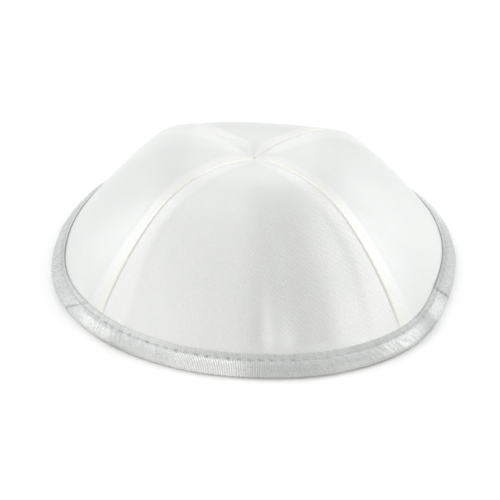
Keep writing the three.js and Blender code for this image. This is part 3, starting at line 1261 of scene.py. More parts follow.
@dataclass
class RimRibbon:
    """Satin ribbon folded in half over the rim and stitched through near its edge.

    The amounts of puckers are heights in millimetres, and those of ribbed are shares of a full rib.
    outer_leg pairs a distance up the wall with one out from it, in millimetres. waves and ripples
    are the long and the short unevenness of the ribbon's face, and face_from is where it starts and
    is full, from the edge in. pull_all_round and pull_in_front are how deep the needle holes are drawn, with
    front_half degrees as the half length of the front's. tone_rows and tone_width are the grid on
    which the ribs' tones are drawn. lift_from holds the degrees from the front between which the
    upper edge comes off the gores.
    """

    form: CapForm
    cloths: Cloths
    thickness: float = 0.45 * MM
    stitch_line: float = 5.0 * MM
    stitch_pitch: float = 4.45 * MM
    dimple: float = 0.55 * MM
    dimple_length: float = 0.65 * MM
    dimple_width: float = 0.6 * MM
    tightest: float = -20.0
    front_half: float = 30.0
    pull_all_round: float = 0.24
    pull_in_front: float = 0.4
    rib_room: float = 0.15 * MM
    # the ribbon's plain tone, and painted highlight along its upper edge
    plain_tone: float = 0.43
    edge_painted_highlight: float = 0.15
    band_blur: float = 0.6 * MM
    plain_rib: float = 0.3
    edge_rib: float = 0.35
    rib_contrast: float = 0.06
    tone_rows: int = 7
    tone_width: float = 18 * MM
    steps: int = 800
    leg_points: int = 21
    turn_points: int = 17
    inner_points: int = 13
    waves: int = 7
    wave_cycles: tuple[int, int] = (5, 34)
    wave_height: float = 0.07 * MM
    ripples: int = 5
    ripple_cycles: tuple[int, int] = (60, 150)
    ripple_height: float = 0.022 * MM
    ripple_lean: float = 0.9
    face_from: tuple[float, float] = (1 * MM, 4 * MM)
    pucker_pitch: float = 2.9 * MM
    pucker_lean: float = 0.55
    pucker_band: tuple[float, float, float, float] = (1.6 * MM, 4 * MM, 8 * MM, 12 * MM)
    pucker_sway: float = 3.1 * MM
    edge_lifted: float = 0.16 * MM
    lift_from: tuple[float, float] = (54, 72)
    lift_cycles: int = 44
    seed: int = 7
    puckers: tuple[Stretch, ...] = (
        Stretch(38.5, 5.5, 0.26),
        Stretch(-45, 7, 0.3),
        Stretch(-31, 6, 0.12),
        Stretch(23, 5, 0.06),
        Stretch(120, 9, 0.2),
        Stretch(-125, 10, 0.22),
        Stretch(176, 8, 0.18),
    )
    # painted sheen and painted shade round the ribbon; a negative amount paints shade
    painted_sheens: tuple[PaintedSheen, ...] = (
        PaintedSheen(-47, 5.5, 1.2, Band.LOWER_FACE),
        PaintedSheen(-66, 9, -0.1, Band.WHOLE),
        PaintedSheen(-42, 8, -0.7, Band.UNDER),
        PaintedSheen(42, 12, -0.8, Band.UNDER),
        PaintedSheen(-20, 20, 0.2, Band.SELVEDGE),
        PaintedSheen(74, 9, -0.45, Band.SELVEDGE),
        PaintedSheen(-82, 10, -0.25, Band.SELVEDGE),
        PaintedSheen(-74, 17, -0.28, Band.SELVEDGE),
        PaintedSheen(70, 22, -0.3, Band.SELVEDGE),
        PaintedSheen(-12.5, 9.5, 1.5, Band.FACE_AND_FOOT),
        PaintedSheen(-28, 24, 0.12, Band.WHOLE),
        PaintedSheen(10, 17, -0.26, Band.WHOLE),
        PaintedSheen(27, 6, 0.35, Band.FOOT),
        PaintedSheen(40, 6.5, 1.15),
        PaintedSheen(58, 4, 0.75),
        PaintedSheen(51.5, 2.5, -0.5, Band.WHOLE),
        PaintedSheen(42, 16, -0.25, Band.WHOLE),
        PaintedSheen(80, 14, -0.25, Band.WHOLE),
        PaintedSheen(112, 10, 0.5),
        PaintedSheen(150, 14, 0.45),
        PaintedSheen(-165, 12, -0.4, Band.WHOLE),
        PaintedSheen(-135, 12, 0.5),
    )
    ribbed: tuple[Stretch, ...] = (
        Stretch(-12, 12, 0.7),
        Stretch(8, 12, 0.25),
        Stretch(-44, 8, 0.2),
        Stretch(36, 10, 0.25),
        Stretch(61, 9, 0.2),
        Stretch(-74, 12, 0.1),
        Stretch(150, 22, 0.6),
    )
    creases: tuple[Crease, ...] = (
        Crease(-59.2, lean=4.5, depth=0.5 * MM, half_width=0.32 * MM, lip=0.2 * MM, fades_from=2.6 * MM),
        Crease(65, lean=-1.5, depth=0.45 * MM, half_width=0.35 * MM, lip=0.4 * MM),
    )
    outer_leg: tuple[tuple[float, float], ...] = (
        (7.2, 1.15), (6.6, 1.26), (5.8, 1.28), (5.0, 1.2), (4.2, 1.42), (3.0, 1.72), (1.5, 1.9), (0.0, 1.9),
    )
    body: str = "root"
    node: str = "rim_binding"
    slot: str = "binding_satin"

    def section(self) -> tuple[np.ndarray, np.ndarray, np.ndarray]:
        """Outer line of the folded ribbon in its own plane, from the outer edge to the inner one.

        Returns:
            Distances up, distances out, and how far each point has come along the ribbon's width.
        """
        leg = np.array(self.outer_leg) * MM
        order = np.argsort(leg[:, 0])
        up = np.linspace(self.form.outer_width, 0, self.leg_points)[:-1]
        out = np.interp(up, leg[order, 0], leg[order, 1])
        kernel = np.array([0.25, 0.5, 0.25])
        for _ in range(2):
            out[1:-1] = np.convolve(out, kernel, mode="valid")
        out = out - self.rib_room
        turn = np.linspace(0, math.pi, self.turn_points)
        radius = self.form.fold_radius - self.rib_room
        inner_up = np.linspace(0, self.form.inner_width, self.inner_points)[1:]
        inner_out = self.rib_room - np.interp(inner_up, leg[order, 0], leg[order, 1])
        ups = np.concatenate([up, -radius * np.sin(turn), inner_up])
        outs = np.concatenate([out, radius * np.cos(turn), inner_out])
        steps = np.hypot(np.diff(ups), np.diff(outs))
        return ups, outs, np.concatenate([[0], np.cumsum(steps)])

    def stitch_count(self) -> int:
        """How many stitches go round the rim.

        Returns:
            Their number, at the nearest to the pitch that goes round evenly.
        """
        azimuth = np.linspace(0, 360, 721)
        line = self.form.rim_wall(azimuth, self.stitch_line, self.form.cloth / 2)
        return round(np.linalg.norm(np.diff(line, axis=0), axis=1).sum() / self.stitch_pitch)

    def relief(
        self, azimuth: np.ndarray, up: np.ndarray, outside: np.ndarray, reach: np.ndarray
    ) -> np.ndarray:
        """Height of the ribbon's face over its plain section.

        Args:
            azimuth: Row of azimuths.
            up: Column of distances up the wall.
            outside: Column that is 1 on the outer face and falls to 0 on the inner one.
            reach: Column of distances along the ribbon's width.

        Returns:
            Grid of heights.
        """
        height = self.unevenness(azimuth, reach) * outside
        height = height - self.dimple * self.holes(azimuth, up)
        run = np.radians(azimuth) * self.form.rim_plan[0]
        sway = 1.6 * np.sin(run / self.pucker_sway) + 2 * np.sin(azimuth)
        place = math.tau * (run - self.pucker_lean * reach) / self.pucker_pitch + sway
        start, full, end, gone = self.pucker_band
        held = smooth(reach, start, full) * smooth(reach, gone, end)
        for part in self.puckers:
            share = np.exp(-(part.side(azimuth) ** 2)) * held
            height = height + part.amount * MM * np.sin(place) * share
        for crease in self.creases:
            side = self.beside_crease(crease, azimuth, up)
            height = height - crease.depth * np.exp(-((side / crease.half_width) ** 2)) * outside
            behind = smooth(side, 0, 0.25 * MM) * smooth(side, 9 * MM, 1 * MM)
            height = height + crease.lip * behind * outside
        return height

    def unevenness(self, azimuth: np.ndarray, reach: np.ndarray) -> np.ndarray:
        """Random long waves and short slanted ripples of the ribbon's face.

        Args:
            azimuth: Row of azimuths.
            reach: Column of distances along the ribbon's width.

        Returns:
            Grid of heights.
        """
        rng = np.random.default_rng(self.seed)
        turn = np.radians(azimuth)
        long = np.zeros_like(turn)
        for wave in range(self.waves):
            cycles = rng.integers(*self.wave_cycles)
            long = long + np.sin(turn * cycles + rng.uniform(0, math.tau)) / (1 + 0.3 * wave)
        height = self.wave_height * long
        for cycles in rng.integers(*self.ripple_cycles, size=self.ripples):
            lean = rng.uniform(-self.ripple_lean, self.ripple_lean)
            place = turn * cycles + lean * reach / (2 * MM) + rng.uniform(0, math.tau)
            height = height + self.ripple_height * np.sin(place)
        return height * smooth(reach, *self.face_from)

    def beside_crease(self, crease: Crease, azimuth: np.ndarray, up: np.ndarray) -> np.ndarray:
        """Distance of the ribbon's points from a crease.

        Args:
            crease: The crease.
            azimuth: Row of azimuths.
            up: Column of distances up the wall.

        Returns:
            Grid of distances, positive behind the crease.
        """
        line = crease.azimuth + crease.lean * up / self.form.outer_width
        side = np.radians(degrees_from(line, azimuth)) * self.form.rim_plan[0]
        return side * np.sign(crease.azimuth)

    def painted_crease_shade(self, azimuth: np.ndarray, up: np.ndarray) -> np.ndarray:
        """Painted shade in a line down each crease.

        Args:
            azimuth: Row of azimuths.
            up: Column of distances up the wall.

        Returns:
            Grid of numbers, 1 in a crease and 0 away from it.
        """
        total = np.zeros(np.broadcast_shapes(azimuth.shape, up.shape))
        for crease in self.creases:
            side = self.beside_crease(crease, azimuth, up) / (0.75 * crease.half_width)
            total = total + np.exp(-side * side) * smooth(up, crease.fades_from + 2 * MM, crease.fades_from)
        return total

    def holes(self, azimuth: np.ndarray, up: np.ndarray) -> np.ndarray:
        """Where the needle has pulled the ribbon in.

        Args:
            azimuth: Row of azimuths.
            up: Column of distances up the wall.

        Returns:
            Grid of numbers, 1 where the needle went through and 0 away from it.
        """
        stitch = azimuth / 360 * self.stitch_count()
        to_hole = (stitch % 1 - 0.5) * self.stitch_pitch / self.dimple_length
        front = np.exp(-((degrees_from(self.tightest, azimuth) / self.front_half) ** 4))
        uneven = 0.8 + 0.25 * np.sin(2.4 * np.floor(stitch))
        pull = (self.pull_all_round + self.pull_in_front * front) * uneven
        return pull * np.exp(-(to_hole ** 2) - ((up - self.stitch_line) / self.dimple_width) ** 2)

    def painted_sheen_and_rib_tone(self, azimuth: np.ndarray, reach: np.ndarray) -> np.ndarray:
        """Painted sheen and shade of the ribbon from place to place, with a random tone for each rib.

        Args:
            azimuth: Row of azimuths.
            reach: Column of distances along the ribbon's width.

        Returns:
            Grid of numbers from 0, painted shade, to 1, painted highlight.
        """
        # painted highlight along the upper edge, over the ribbon's plain tone
        edge = smooth(reach, 0.7 * MM, 0.3 * MM)
        total = self.plain_tone + self.edge_painted_highlight * edge + np.zeros_like(azimuth)
        for part in self.painted_sheens:
            along = 1 / (1 + np.abs(part.side(azimuth)) ** 5)
            start, end = part.band.value
            held = smooth(reach, start - self.band_blur, start + self.band_blur)
            held = held * smooth(reach, end + MM, end - MM)
            total = total + 0.5 * part.amount * along * held
        return np.clip(total + self.uneven_ribs(azimuth, reach), 0, 1)

    def uneven_ribs(self, azimuth: np.ndarray, reach: np.ndarray) -> np.ndarray:
        """How much brighter or duller than the ribbon round it each rib lies.

        Args:
            azimuth: Row of azimuths.
            reach: Column of distances along the ribbon's width.

        Returns:
            Grid of shares of the scale from painted shade to painted highlight.
        """
        rng = np.random.default_rng(self.seed + 1)
        places = np.linspace(0, self.tone_width, self.tone_rows)
        draws = rng.uniform(-1, 1, (len(places), azimuth.shape[1]))
        tones = np.stack([np.interp(reach[:, 0], places, column) for column in draws.T], axis=1)
        return self.rib_contrast * (tones + 0.6 * draws[:1])

    def rib_size(self, azimuth: np.ndarray, reach: np.ndarray) -> np.ndarray:
        """How strongly the ribs stand out: most where the ribbon is taut, least on its selvedge.

        Args:
            azimuth: Row of azimuths.
            reach: Column of distances along the ribbon's width.

        Returns:
            Grid of shares of the full rib.
        """
        body = smooth(reach, 2.2 * MM, 3.4 * MM)
        edge = smooth(reach, 0.8 * MM, 0.4 * MM)
        total = self.plain_rib + np.zeros_like(azimuth)
        for part in self.ribbed:
            total = total + part.amount * np.exp(-(part.side(azimuth) ** 4))
        return np.clip(total * (0.6 + 0.4 * body) + self.edge_rib * edge, 0, 1)

    def edge_lift(self, azimuth: np.ndarray) -> np.ndarray:
        """How far the ribbon's upper edge stands off the gores: more at the sides than in front.

        Args:
            azimuth: Row of azimuths.

        Returns:
            Row of distances.
        """
        side = degrees_from(0, azimuth)
        right = 0.65 + 0.35 * np.sin(np.radians(azimuth) * self.lift_cycles)
        return self.edge_lifted * smooth(np.abs(side), *self.lift_from) * np.where(side > 0, right, 1.0)

    def faces_of_ribbon(self) -> tuple[np.ndarray, np.ndarray, dict[str, np.ndarray]]:
        """The ribbon's outer surface all the way round.

        Returns:
            Grid of points, a row for each place across the ribbon, grid of places on the cloth, and
            grids of the marks that its finish reads.
        """
        azimuth = (np.arange(self.steps) * 360 / self.steps)[None]
        up, out, reach = (part[:, None] for part in self.section())
        half = len(up) // 2
        outside = smooth(reach, reach[half, 0] + 3 * MM, reach[half, 0] - 1 * MM)
        height = self.relief(azimuth, up, outside, reach)
        lift = self.edge_lift(azimuth) * smooth(reach, 4 * MM, 0)
        total = out + (height + lift) * np.sign(out + 1e-9)
        up_too = up - np.where(up < 0, height * up / self.form.fold_radius, 0)
        base = self.form.rim_wall(azimuth, up_too, total)
        base[..., 2] = np.maximum(base[..., 2], 0)
        run = np.broadcast_to(azimuth / 360 * math.tau * self.form.rim_plan[0], base.shape[:2])
        place = np.stack([run, np.broadcast_to(reach, base.shape[:2])], axis=2)
        # painted shade in needle holes and creases
        crevice_shade = np.clip(self.holes(azimuth, up) + self.painted_crease_shade(azimuth, up) * outside, 0, 1)
        marks = {
            "painted_crevice_shade": crevice_shade,
            "painted_sheen_and_rib_tone": self.painted_sheen_and_rib_tone(azimuth, reach),
            "rib_size": self.rib_size(azimuth, reach),
        }
        return base - self.form.middle(), place, marks

    def build(self) -> bpy.types.Object:
        """Makes the ribbon as one closed band with rounded edges.

        Returns:
            The piece, with its edges across the outer face marked as ribs.
        """
        face, place, marks = self.faces_of_ribbon()
        normal = grid_normals(face, closed=True)
        back = face - normal * self.thickness
        rounded = 0.5 * self.thickness
        tops = []
        for row, near in ((0, 1), (-1, -2)):
            along = unit(face[row] - face[near])
            tops.append((face[row] + back[row]) / 2 + along * rounded)
        back[..., 2] = np.maximum(back[..., 2], self.thickness * 0.9)
        loop = np.concatenate([face, tops[1][None], back[::-1], tops[0][None]])
        places = np.concatenate([place, place[-1:], place[::-1], place[:1]])
        rows, columns = loop.shape[:2]
        index = np.arange(rows * columns).reshape(rows, columns)
        below, beside = np.roll(index, -1, axis=0), np.roll(index, -1, axis=1)
        corner = np.roll(below, -1, axis=1)
        faces = np.stack([index, below, corner, beside], -1).reshape(-1, 4).tolist()
        marks = {label: np.concatenate([m, m[-1:], m[::-1], m[:1]]) for label, m in marks.items()}
        uv = places.reshape(-1, 2)
        materials = [self.cloths.ribbon]
        piece = mesh_object("rim_ribbon", loop.reshape(-1, 3), faces, materials, uv, None, marks)
        self.mark_ribs(piece, columns)
        return piece

    def mark_ribs(self, piece: bpy.types.Object, columns: int) -> None:
        """Marks the edges across the ribbon's outer face, which the ribs follow.

        Args:
            piece: The ribbon.
            columns: How many points go round it.
        """
        ends = np.zeros(len(piece.data.edges) * 2, np.int32)
        piece.data.edges.foreach_get("vertices", ends)
        ends = ends.reshape(-1, 2)
        row, column = ends // columns, ends % columns
        across = column[:, 0] == column[:, 1]
        under_the_fold = self.leg_points + self.turn_points // 2
        inside = row.max(axis=1) <= under_the_fold
        marked = across & inside & (np.abs(row[:, 0] - row[:, 1]) == 1)
        rib = piece.data.attributes.new("rib", "BOOLEAN", "EDGE")
        rib.data.foreach_set("value", marked)

    def stitch_path(self, outer: bool) -> tuple[np.ndarray, np.ndarray]:
        """Where the middle of each stitch lies on one face.

        Args:
            outer: Whether it is the outer face or the inner one.

        Returns:
            A point for each stitch, and the direction out of the cloth there.
        """
        count = self.stitch_count()
        azimuth = (np.arange(count) / count * 360)[None]
        up, out, reach = self.section()
        rows = np.arange(len(up))
        half = len(up) // 2
        rows = rows[:half] if outer else rows[half:]
        nearest = rows[np.argmin(np.abs(up[rows] - self.stitch_line))]
        side = 1.0 if outer else -1.0
        here = (np.array([[value]]) for value in (up[nearest], float(outer), reach[nearest]))
        height = self.relief(azimuth, *here)
        lift = self.edge_lift(azimuth) * smooth(reach[nearest], 4 * MM, 0)
        total = out[nearest] + side * (height + lift)
        point = self.form.rim_wall(azimuth, up[nearest], total)[0]
        above = self.form.rim_wall(azimuth, up[nearest], total + side * MM)[0]
        return point - self.form.middle(), unit(above - point)

    def dress(self, piece: bpy.types.Object, with_pieces: list[bpy.types.Object]) -> None:
        """Puts the ribbon in the frame in place of its solid.

        Args:
            piece: The ribbon.
            with_pieces: Ribs and stitches that go with it.
        """
        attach(piece, self.body)
        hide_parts(self.node)
        for extra in with_pieces:
            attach(extra, self.body)
        width = float(self.section()[2][-1])


# ------------------------------------------------------------------------------------------------
# What repeats round the rim, made by Geometry Nodes
# ------------------------------------------------------------------------------------------------


@dataclass
class GrownPiece:
    """A piece grown on a base object by a Geometry Nodes tree, then kept as a plain mesh."""

    name: str
    material: bpy.types.Material

    def tree(self, sizes: dict[str, float | int]) -> tuple[Tree, bpy.types.Node, bpy.types.Node]:
        """New tree with a geometry in and out and its named inputs.

        Args:
            sizes: Value of each named input.

        Returns:
            The tree, its input node and its output node.
        """
        group = bpy.data.node_groups.new(self.name, "GeometryNodeTree")
        group.interface.new_socket("Geometry", in_out="INPUT", socket_type="NodeSocketGeometry")
        for label, value in sizes.items():
            kind = "NodeSocketInt" if isinstance(value, int) else "NodeSocketFloat"
            socket = group.interface.new_socket(label, in_out="INPUT", socket_type=kind)
            socket.default_value = value
        group.interface.new_socket("Geometry", in_out="OUTPUT", socket_type="NodeSocketGeometry")
        tree = Tree(group)
        return tree, tree.add("NodeGroupInput"), tree.add("NodeGroupOutput")

    def close(self, tree: Tree, geometry: Socket, output: bpy.types.Node) -> None:
        """Ends a tree in real, smooth and dressed geometry.

        Args:
            tree: The tree.
            geometry: What it has grown.
            output: Its output node.
        """
        real = tree.add("GeometryNodeRealizeInstances")
        shade = tree.add("GeometryNodeSetShadeSmooth")
        dress = tree.add("GeometryNodeSetMaterial")
        dress.inputs["Material"].default_value = self.material
        tree.link(geometry, real.inputs[0])
        tree.link(real.outputs[0], shade.inputs[0])
        tree.link(shade.outputs[0], dress.inputs[0])
        tree.link(dress.outputs[0], output.inputs[0])

    def grow(self, base: bpy.types.Object, tree: Tree, sizes: dict[str, float | int]) -> bpy.types.Object:
        """Runs the tree on a copy of the base and keeps the result.

        Args:
            base: Object that the tree reads.
            tree: The tree.
            sizes: Value of each named input.

        Returns:
            The piece, a plain mesh at the origin.
        """
        holder = bpy.data.objects.new(self.name + "_base", base.data.copy())
        bpy.context.scene.collection.objects.link(holder)
        modifier = holder.modifiers.new(self.name, "NODES")
        modifier.node_group = tree.tree
        for item in tree.tree.interface.items_tree:
            if item.item_type == "SOCKET" and item.in_out == "INPUT" and item.name in sizes:
                modifier[item.identifier] = sizes[item.name]
        bpy.context.view_layer.update()
        seen = holder.evaluated_get(bpy.context.evaluated_depsgraph_get())
        mesh = bpy.data.meshes.new_from_object(seen)
        mesh.name = self.name
        piece = bpy.data.objects.new(self.name, mesh)
        bpy.context.scene.collection.objects.link(piece)
        holder.modifiers.clear()
        bpy.data.objects.remove(holder)
        return piece


@dataclass
class RibbonRibs(GrownPiece):
    """Fine ribs across the ribbon, which show as beads along its edge."""

    radius: float = 0.22 * MM
    sides: int = 6
    points: int = 13

    def build(self, ribbon: bpy.types.Object) -> bpy.types.Object:
        """Lays a thin round rib along each marked edge chain.

        Args:
            ribbon: The ribbon, with its edges marked.

        Returns:
            The ribs.
        """
        sizes = {"Rib Radius": self.radius, "Rib Sides": self.sides, "Rib Points": self.points}
        tree, source, output = self.tree(sizes)
        mark = tree.add("GeometryNodeInputNamedAttribute", data_type="BOOLEAN")
        mark.inputs["Name"].default_value = "rib"
        lines = tree.add("GeometryNodeMeshToCurve")
        ring = tree.add("GeometryNodeCurvePrimitiveCircle", mode="RADIUS")
        even = tree.add("GeometryNodeResampleCurve", mode="COUNT")
        tube = tree.add("GeometryNodeCurveToMesh")
        tube.inputs["Fill Caps"].default_value = True
        tree.link(source.outputs["Geometry"], lines.inputs["Mesh"])
        tree.link(mark.outputs["Attribute"], lines.inputs["Selection"])
        tree.link(source.outputs["Rib Radius"], ring.inputs["Radius"])
        tree.link(source.outputs["Rib Sides"], ring.inputs["Resolution"])
        tree.link(lines.outputs["Curve"], even.inputs["Curve"])
        tree.link(source.outputs["Rib Points"], even.inputs["Count"])
        size = tree.add("GeometryNodeInputNamedAttribute", data_type="FLOAT")
        size.inputs["Name"].default_value = "rib_size"
        tree.link(size.outputs["Attribute"], tube.inputs["Scale"])
        tree.link(even.outputs["Curve"], tube.inputs["Curve"])
        tree.link(ring.outputs["Curve"], tube.inputs["Profile Curve"])
        self.close(tree, tube.outputs["Mesh"], output)
        return self.grow(ribbon, tree, sizes)


@dataclass
class StitchRow(GrownPiece):
    """A row of lockstitches, each a short length of thread that dives into the cloth at both ends.

    sway is how far a stitch may turn about each axis, in radians.
    """

    length: float = 3.3 * MM
    width: float = 0.42 * MM
    proud: float = 0.34 * MM
    segments: int = 10
    rings: int = 8
    sway: tuple[float, float, float] = (0.03, 0.03, 0.09)
    smallest: float = 0.92
    largest: float = 1.06
    seed: int = 11

    def build(self, points: np.ndarray, outward: np.ndarray) -> bpy.types.Object:
        """Lays a stitch at each point.

        Args:
            points: Middle of each stitch, in order round the rim.
            outward: Direction out of the cloth at each point.

        Returns:
            The row.
        """
        path = self.path(points, outward)
        sizes = {
            "Stitch Length": self.length,
            "Thread Width": self.width,
            "Stitch Height": self.proud,
            "Seed": self.seed,
        }
        tree, source, output = self.tree(sizes)
        ball = tree.add("GeometryNodeMeshUVSphere", in_0=self.segments, in_1=self.rings)
        ball.inputs["Radius"].default_value = 0.5
        size = tree.add("ShaderNodeCombineXYZ")
        for slot, label in enumerate(("Stitch Length", "Thread Width", "Stitch Height")):
            tree.link(source.outputs[label], size.inputs[slot])
        stitch = tree.add("GeometryNodeTransform")
        tree.link(ball.outputs["Mesh"], stitch.inputs["Geometry"])
        tree.link(size.outputs[0], stitch.inputs["Scale"])
        along = tree.add("GeometryNodeInputNamedAttribute", data_type="FLOAT_VECTOR")
        along.inputs["Name"].default_value = "along"
        outer = tree.add("GeometryNodeInputNamedAttribute", data_type="FLOAT_VECTOR")
        outer.inputs["Name"].default_value = "outward"
        turn = tree.add("FunctionNodeAxesToRotation", primary_axis="Z", secondary_axis="X")
        tree.link(outer.outputs["Attribute"], turn.inputs["Primary Axis"])
        tree.link(along.outputs["Attribute"], turn.inputs["Secondary Axis"])
        sway = tree.add("FunctionNodeRandomValue", data_type="FLOAT_VECTOR")
        sway.inputs[0].default_value = tuple(-angle for angle in self.sway)
        sway.inputs[1].default_value = self.sway
        tree.link(source.outputs["Seed"], sway.inputs["Seed"])
        swayed = tree.add("FunctionNodeRotateRotation", rotation_space="LOCAL")
        tree.link(turn.outputs[0], swayed.inputs[0])
        tree.link(sway.outputs[0], swayed.inputs[1])
        scale = tree.add("FunctionNodeRandomValue", data_type="FLOAT")
        scale.inputs[2].default_value = self.smallest
        scale.inputs[3].default_value = self.largest
        tree.link(source.outputs["Seed"], scale.inputs["Seed"])
        laid = tree.add("GeometryNodeInstanceOnPoints")
        tree.link(source.outputs["Geometry"], laid.inputs["Points"])
        tree.link(stitch.outputs[0], laid.inputs["Instance"])
        tree.link(swayed.outputs[0], laid.inputs["Rotation"])
        tree.link(scale.outputs[1], laid.inputs["Scale"])
        self.close(tree, laid.outputs[0], output)
        row = self.grow(path, tree, sizes)
        bpy.data.objects.remove(path)
        return row

    def path(self, points: np.ndarray, outward: np.ndarray) -> bpy.types.Object:
        """Loose points that carry the stitches' directions.

        Args:
            points: Middle of each stitch.
            outward: Direction out of the cloth at each point.

        Returns:
            The object.
        """
        mesh = bpy.data.meshes.new(self.name + "_path")
        mesh.from_pydata(points.tolist(), [], [])
        along = unit(np.roll(points, -1, axis=0) - np.roll(points, 1, axis=0))
        for label, values in (("along", along), ("outward", outward)):
            attribute = mesh.attributes.new(label, "FLOAT_VECTOR", "POINT")
            attribute.data.foreach_set("vector", values.astype(np.float32).ravel())
        path = bpy.data.objects.new(mesh.name, mesh)
        bpy.context.scene.collection.objects.link(path)
        return path


# ------------------------------------------------------------------------------------------------
# The studio
# ------------------------------------------------------------------------------------------------


@dataclass(frozen=True)
class Softbox:
    """A square lamp: where it hangs, its size in metres, its power in watts and its tint."""

    name: str
    place: tuple[float, float, float]
    size: float
    power: float
    tint: Tint = (1.0, 1.0, 1.0)


@dataclass
class Studio:
    """Pale table, soft lamps and the camera."""

    camera_rise: float = math.radians(35.4)
    camera_distance: float = 0.4643
    camera_lens: float = 71.5
    sensor_width: float = 36.0
    clip_start: float = 0.01
    camera_aim: tuple[float, float, float] = (-0.00217, -0.00141, -0.00056)
    camera_roll: float = math.radians(0.26)
    floor_size: float = 6.0
    floor_finish: PaleFloor = PaleFloor("pale_floor", roughness=0.7, specular=0.2)
    sky: float = 0.672
    sky_tint: Tint = (1.0, 1.0, 0.985)
    lamps: tuple[Softbox, ...] = (
        Softbox("left_softbox", (-0.82, 0.2, 0.52), 0.65, 1.9, (0.94, 0.975, 1.0)),
        Softbox("right_softbox", (0.82, 0.22, 0.5), 0.65, 2.35, (0.94, 0.985, 1.0)),
        Softbox("left_overhead", (-0.6, 0.1, 0.85), 0.6, 1.25, (0.96, 0.985, 1.0)),
        Softbox("right_overhead", (0.6, 0.1, 0.85), 0.6, 1.1, (0.96, 0.985, 1.0)),
        Softbox("front_left_fill", (-0.75, -0.65, 0.4), 0.6, 1.2, (1.0, 0.98, 0.9)),
        Softbox("front_right_fill", (0.75, -0.65, 0.4), 0.6, 0.95, (1.0, 0.98, 0.9)),
        Softbox("back_softbox", (0.0, 0.8, 0.6), 0.6, 0.6),
    )

    def set_camera(self) -> None:
        """Places the camera and makes it the scene's own."""
        rise = self.camera_rise
        aim = Vector(self.camera_aim)
        towards = Vector((0, -math.cos(rise), math.sin(rise)))
        data = bpy.data.cameras.new("camera")
        data.lens = self.camera_lens
        data.sensor_width = self.sensor_width
        data.clip_start = self.clip_start
        camera = bpy.data.objects.new("camera", data)
        bpy.context.scene.collection.objects.link(camera)
        camera.location = aim + towards * self.camera_distance
        camera.rotation_euler = (math.pi / 2 - rise, 0, 0)
        camera.rotation_euler.rotate_axis("Z", self.camera_roll)
        bpy.context.scene.camera = camera

    def set_floor(self) -> None:
        """Lays the table top."""
        half = self.floor_size / 2
        corners = np.array([(-half, -half, 0), (half, -half, 0), (half, half, 0), (-half, half, 0)])
        floor = mesh_object("floor", corners, [(0, 1, 2, 3)], [self.floor_finish.material()])

    def set_light(self) -> None:
        """Hangs the lamps and sets the even light round them."""
        for lamp in self.lamps:
            data = bpy.data.lights.new(lamp.name, "AREA")
            data.size = lamp.size
            data.energy = lamp.power
            data.color = lamp.tint
            light = bpy.data.objects.new(lamp.name, data)
            bpy.context.scene.collection.objects.link(light)
            light.location = lamp.place
            light.rotation_euler = (-Vector(lamp.place)).to_track_quat("-Z", "Y").to_euler()
        world = bpy.data.worlds.new("studio")
        world.use_nodes = True
        tree = Tree(world.node_tree)
        even = world.node_tree.nodes["Background"]
        even.inputs["Color"].default_value = (*self.sky_tint, 1)
        even.inputs["Strength"].default_value = self.sky
        paper = tree.add("ShaderNodeBackground", in_0=(1, 1, 1, 1), in_1=1.0)
        rays = tree.add("ShaderNodeLightPath")
        seen = tree.add("ShaderNodeMixShader")
        tree.link(rays.outputs["Is Camera Ray"], seen.inputs[0])
        tree.link(even.outputs[0], seen.inputs[1])
        tree.link(paper.outputs[0], seen.inputs[2])
        tree.link(seen.outputs[0], world.node_tree.nodes["World Output"].inputs["Surface"])
        bpy.context.scene.world = world
        bpy.context.scene.view_settings.view_transform = "Standard"


# ------------------------------------------------------------------------------------------------
# Making the cap
# ------------------------------------------------------------------------------------------------

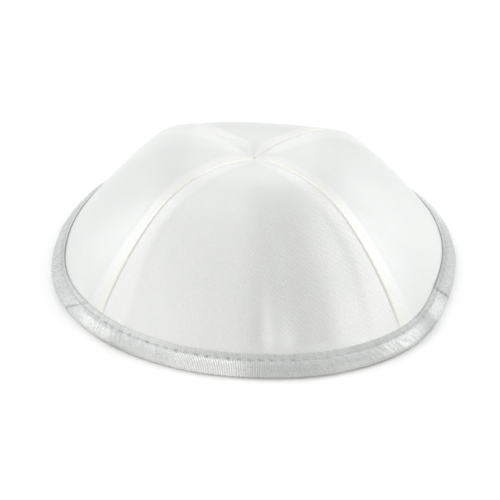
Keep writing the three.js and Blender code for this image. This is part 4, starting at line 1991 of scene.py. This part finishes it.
# Folds of the gores: relief with painted shade, and painted highlight where negative; a fold with no height
# is only painted
FRONT_FOLDS = (
    SoftFold((0.53, 0.6), (0.54, 1.0), 3 * MM, 4.5 * MM, height=-1.2 * MM, painted_shade_amount=0.2),
    SoftFold((0.59, 0.82), (0.61, 1.0), 1.5 * MM, 5.5 * MM, height=1.0 * MM, painted_shade_amount=-0.9),
    SoftFold((0.7, 0.35), (0.71, 1.0), 8 * MM, 8 * MM, height=-1.1 * MM),
    SoftFold((0.67, 0.3), (0.648, 1.0), 10 * MM, 15.5 * MM, painted_shade_amount=0.95, full_from=0.4),
    SoftFold((0.83, 0.5), (0.845, 1.0), 5 * MM, 8 * MM, painted_shade_amount=-0.55, full_from=0.5),
)
LEFT_FOLDS = (SoftFold((0.12, 0.0), (0.12, 0.9), 7 * MM, 14 * MM, painted_shade_amount=-0.5, full_from=0.15),)
RIGHT_FOLDS = (SoftFold((0.5, 0.0), (0.5, 0.7), 10 * MM, 20 * MM, painted_shade_amount=-0.25, full_from=0.2),)


def report(piece: bpy.types.Object) -> None:
    """Logs a piece's name and how many faces it has."""
    LOG.info("%s: %d faces", piece.name, len(piece.data.polygons))


def main() -> None:
    """Makes the studio, the gores, the ribbon and its stitches."""
    logging.basicConfig(level=logging.INFO, format="%(name)s %(message)s")
    studio = Studio()
    studio.set_camera()
    form = CapForm()
    cloths = Cloths.woven()
    gores = (
        Gore(
            form, cloths, "panel_front", Seam.FRONT_LEFT, Seam.FRONT_RIGHT, seed=3, folds=FRONT_FOLDS,
            painted_lift=0.08, allowance=6.2 * MM, opening=1.8,
        ),
        Gore(
            form, cloths, "panel_right", Seam.FRONT_RIGHT, Seam.BACK_RIGHT, seed=5, folds=RIGHT_FOLDS,
            painted_lift=0.05, near_over=1.0,
        ),
        Gore(
            form, cloths, "panel_back", Seam.BACK_RIGHT, Seam.BACK_LEFT, seed=8,
            near_over=0.8, far_over=0.125,
        ),
        Gore(
            form, cloths, "panel_left", Seam.BACK_LEFT, Seam.FRONT_LEFT, seed=13, folds=LEFT_FOLDS,
            painted_lift=0.05, near_over=0.125, far_over=1.0,
        ),
    )
    for gore in gores:
        piece = gore.build()
        gore.dress(piece)
        report(piece)
    ribbon = RimRibbon(form, cloths)
    band = ribbon.build()
    ribs = RibbonRibs("ribbon_ribs", cloths.rib).build(band)
    rows = [
        StitchRow("stitches_outside", cloths.thread).build(*ribbon.stitch_path(outer=True)),
        StitchRow("stitches_inside", cloths.thread, seed=12).build(*ribbon.stitch_path(outer=False)),
    ]
    ribbon.dress(band, [ribs, *rows])
    for piece in (band, ribs, *rows):
        report(piece)
    studio.set_floor()
    studio.set_light()


if __name__ == "__main__":
    main()
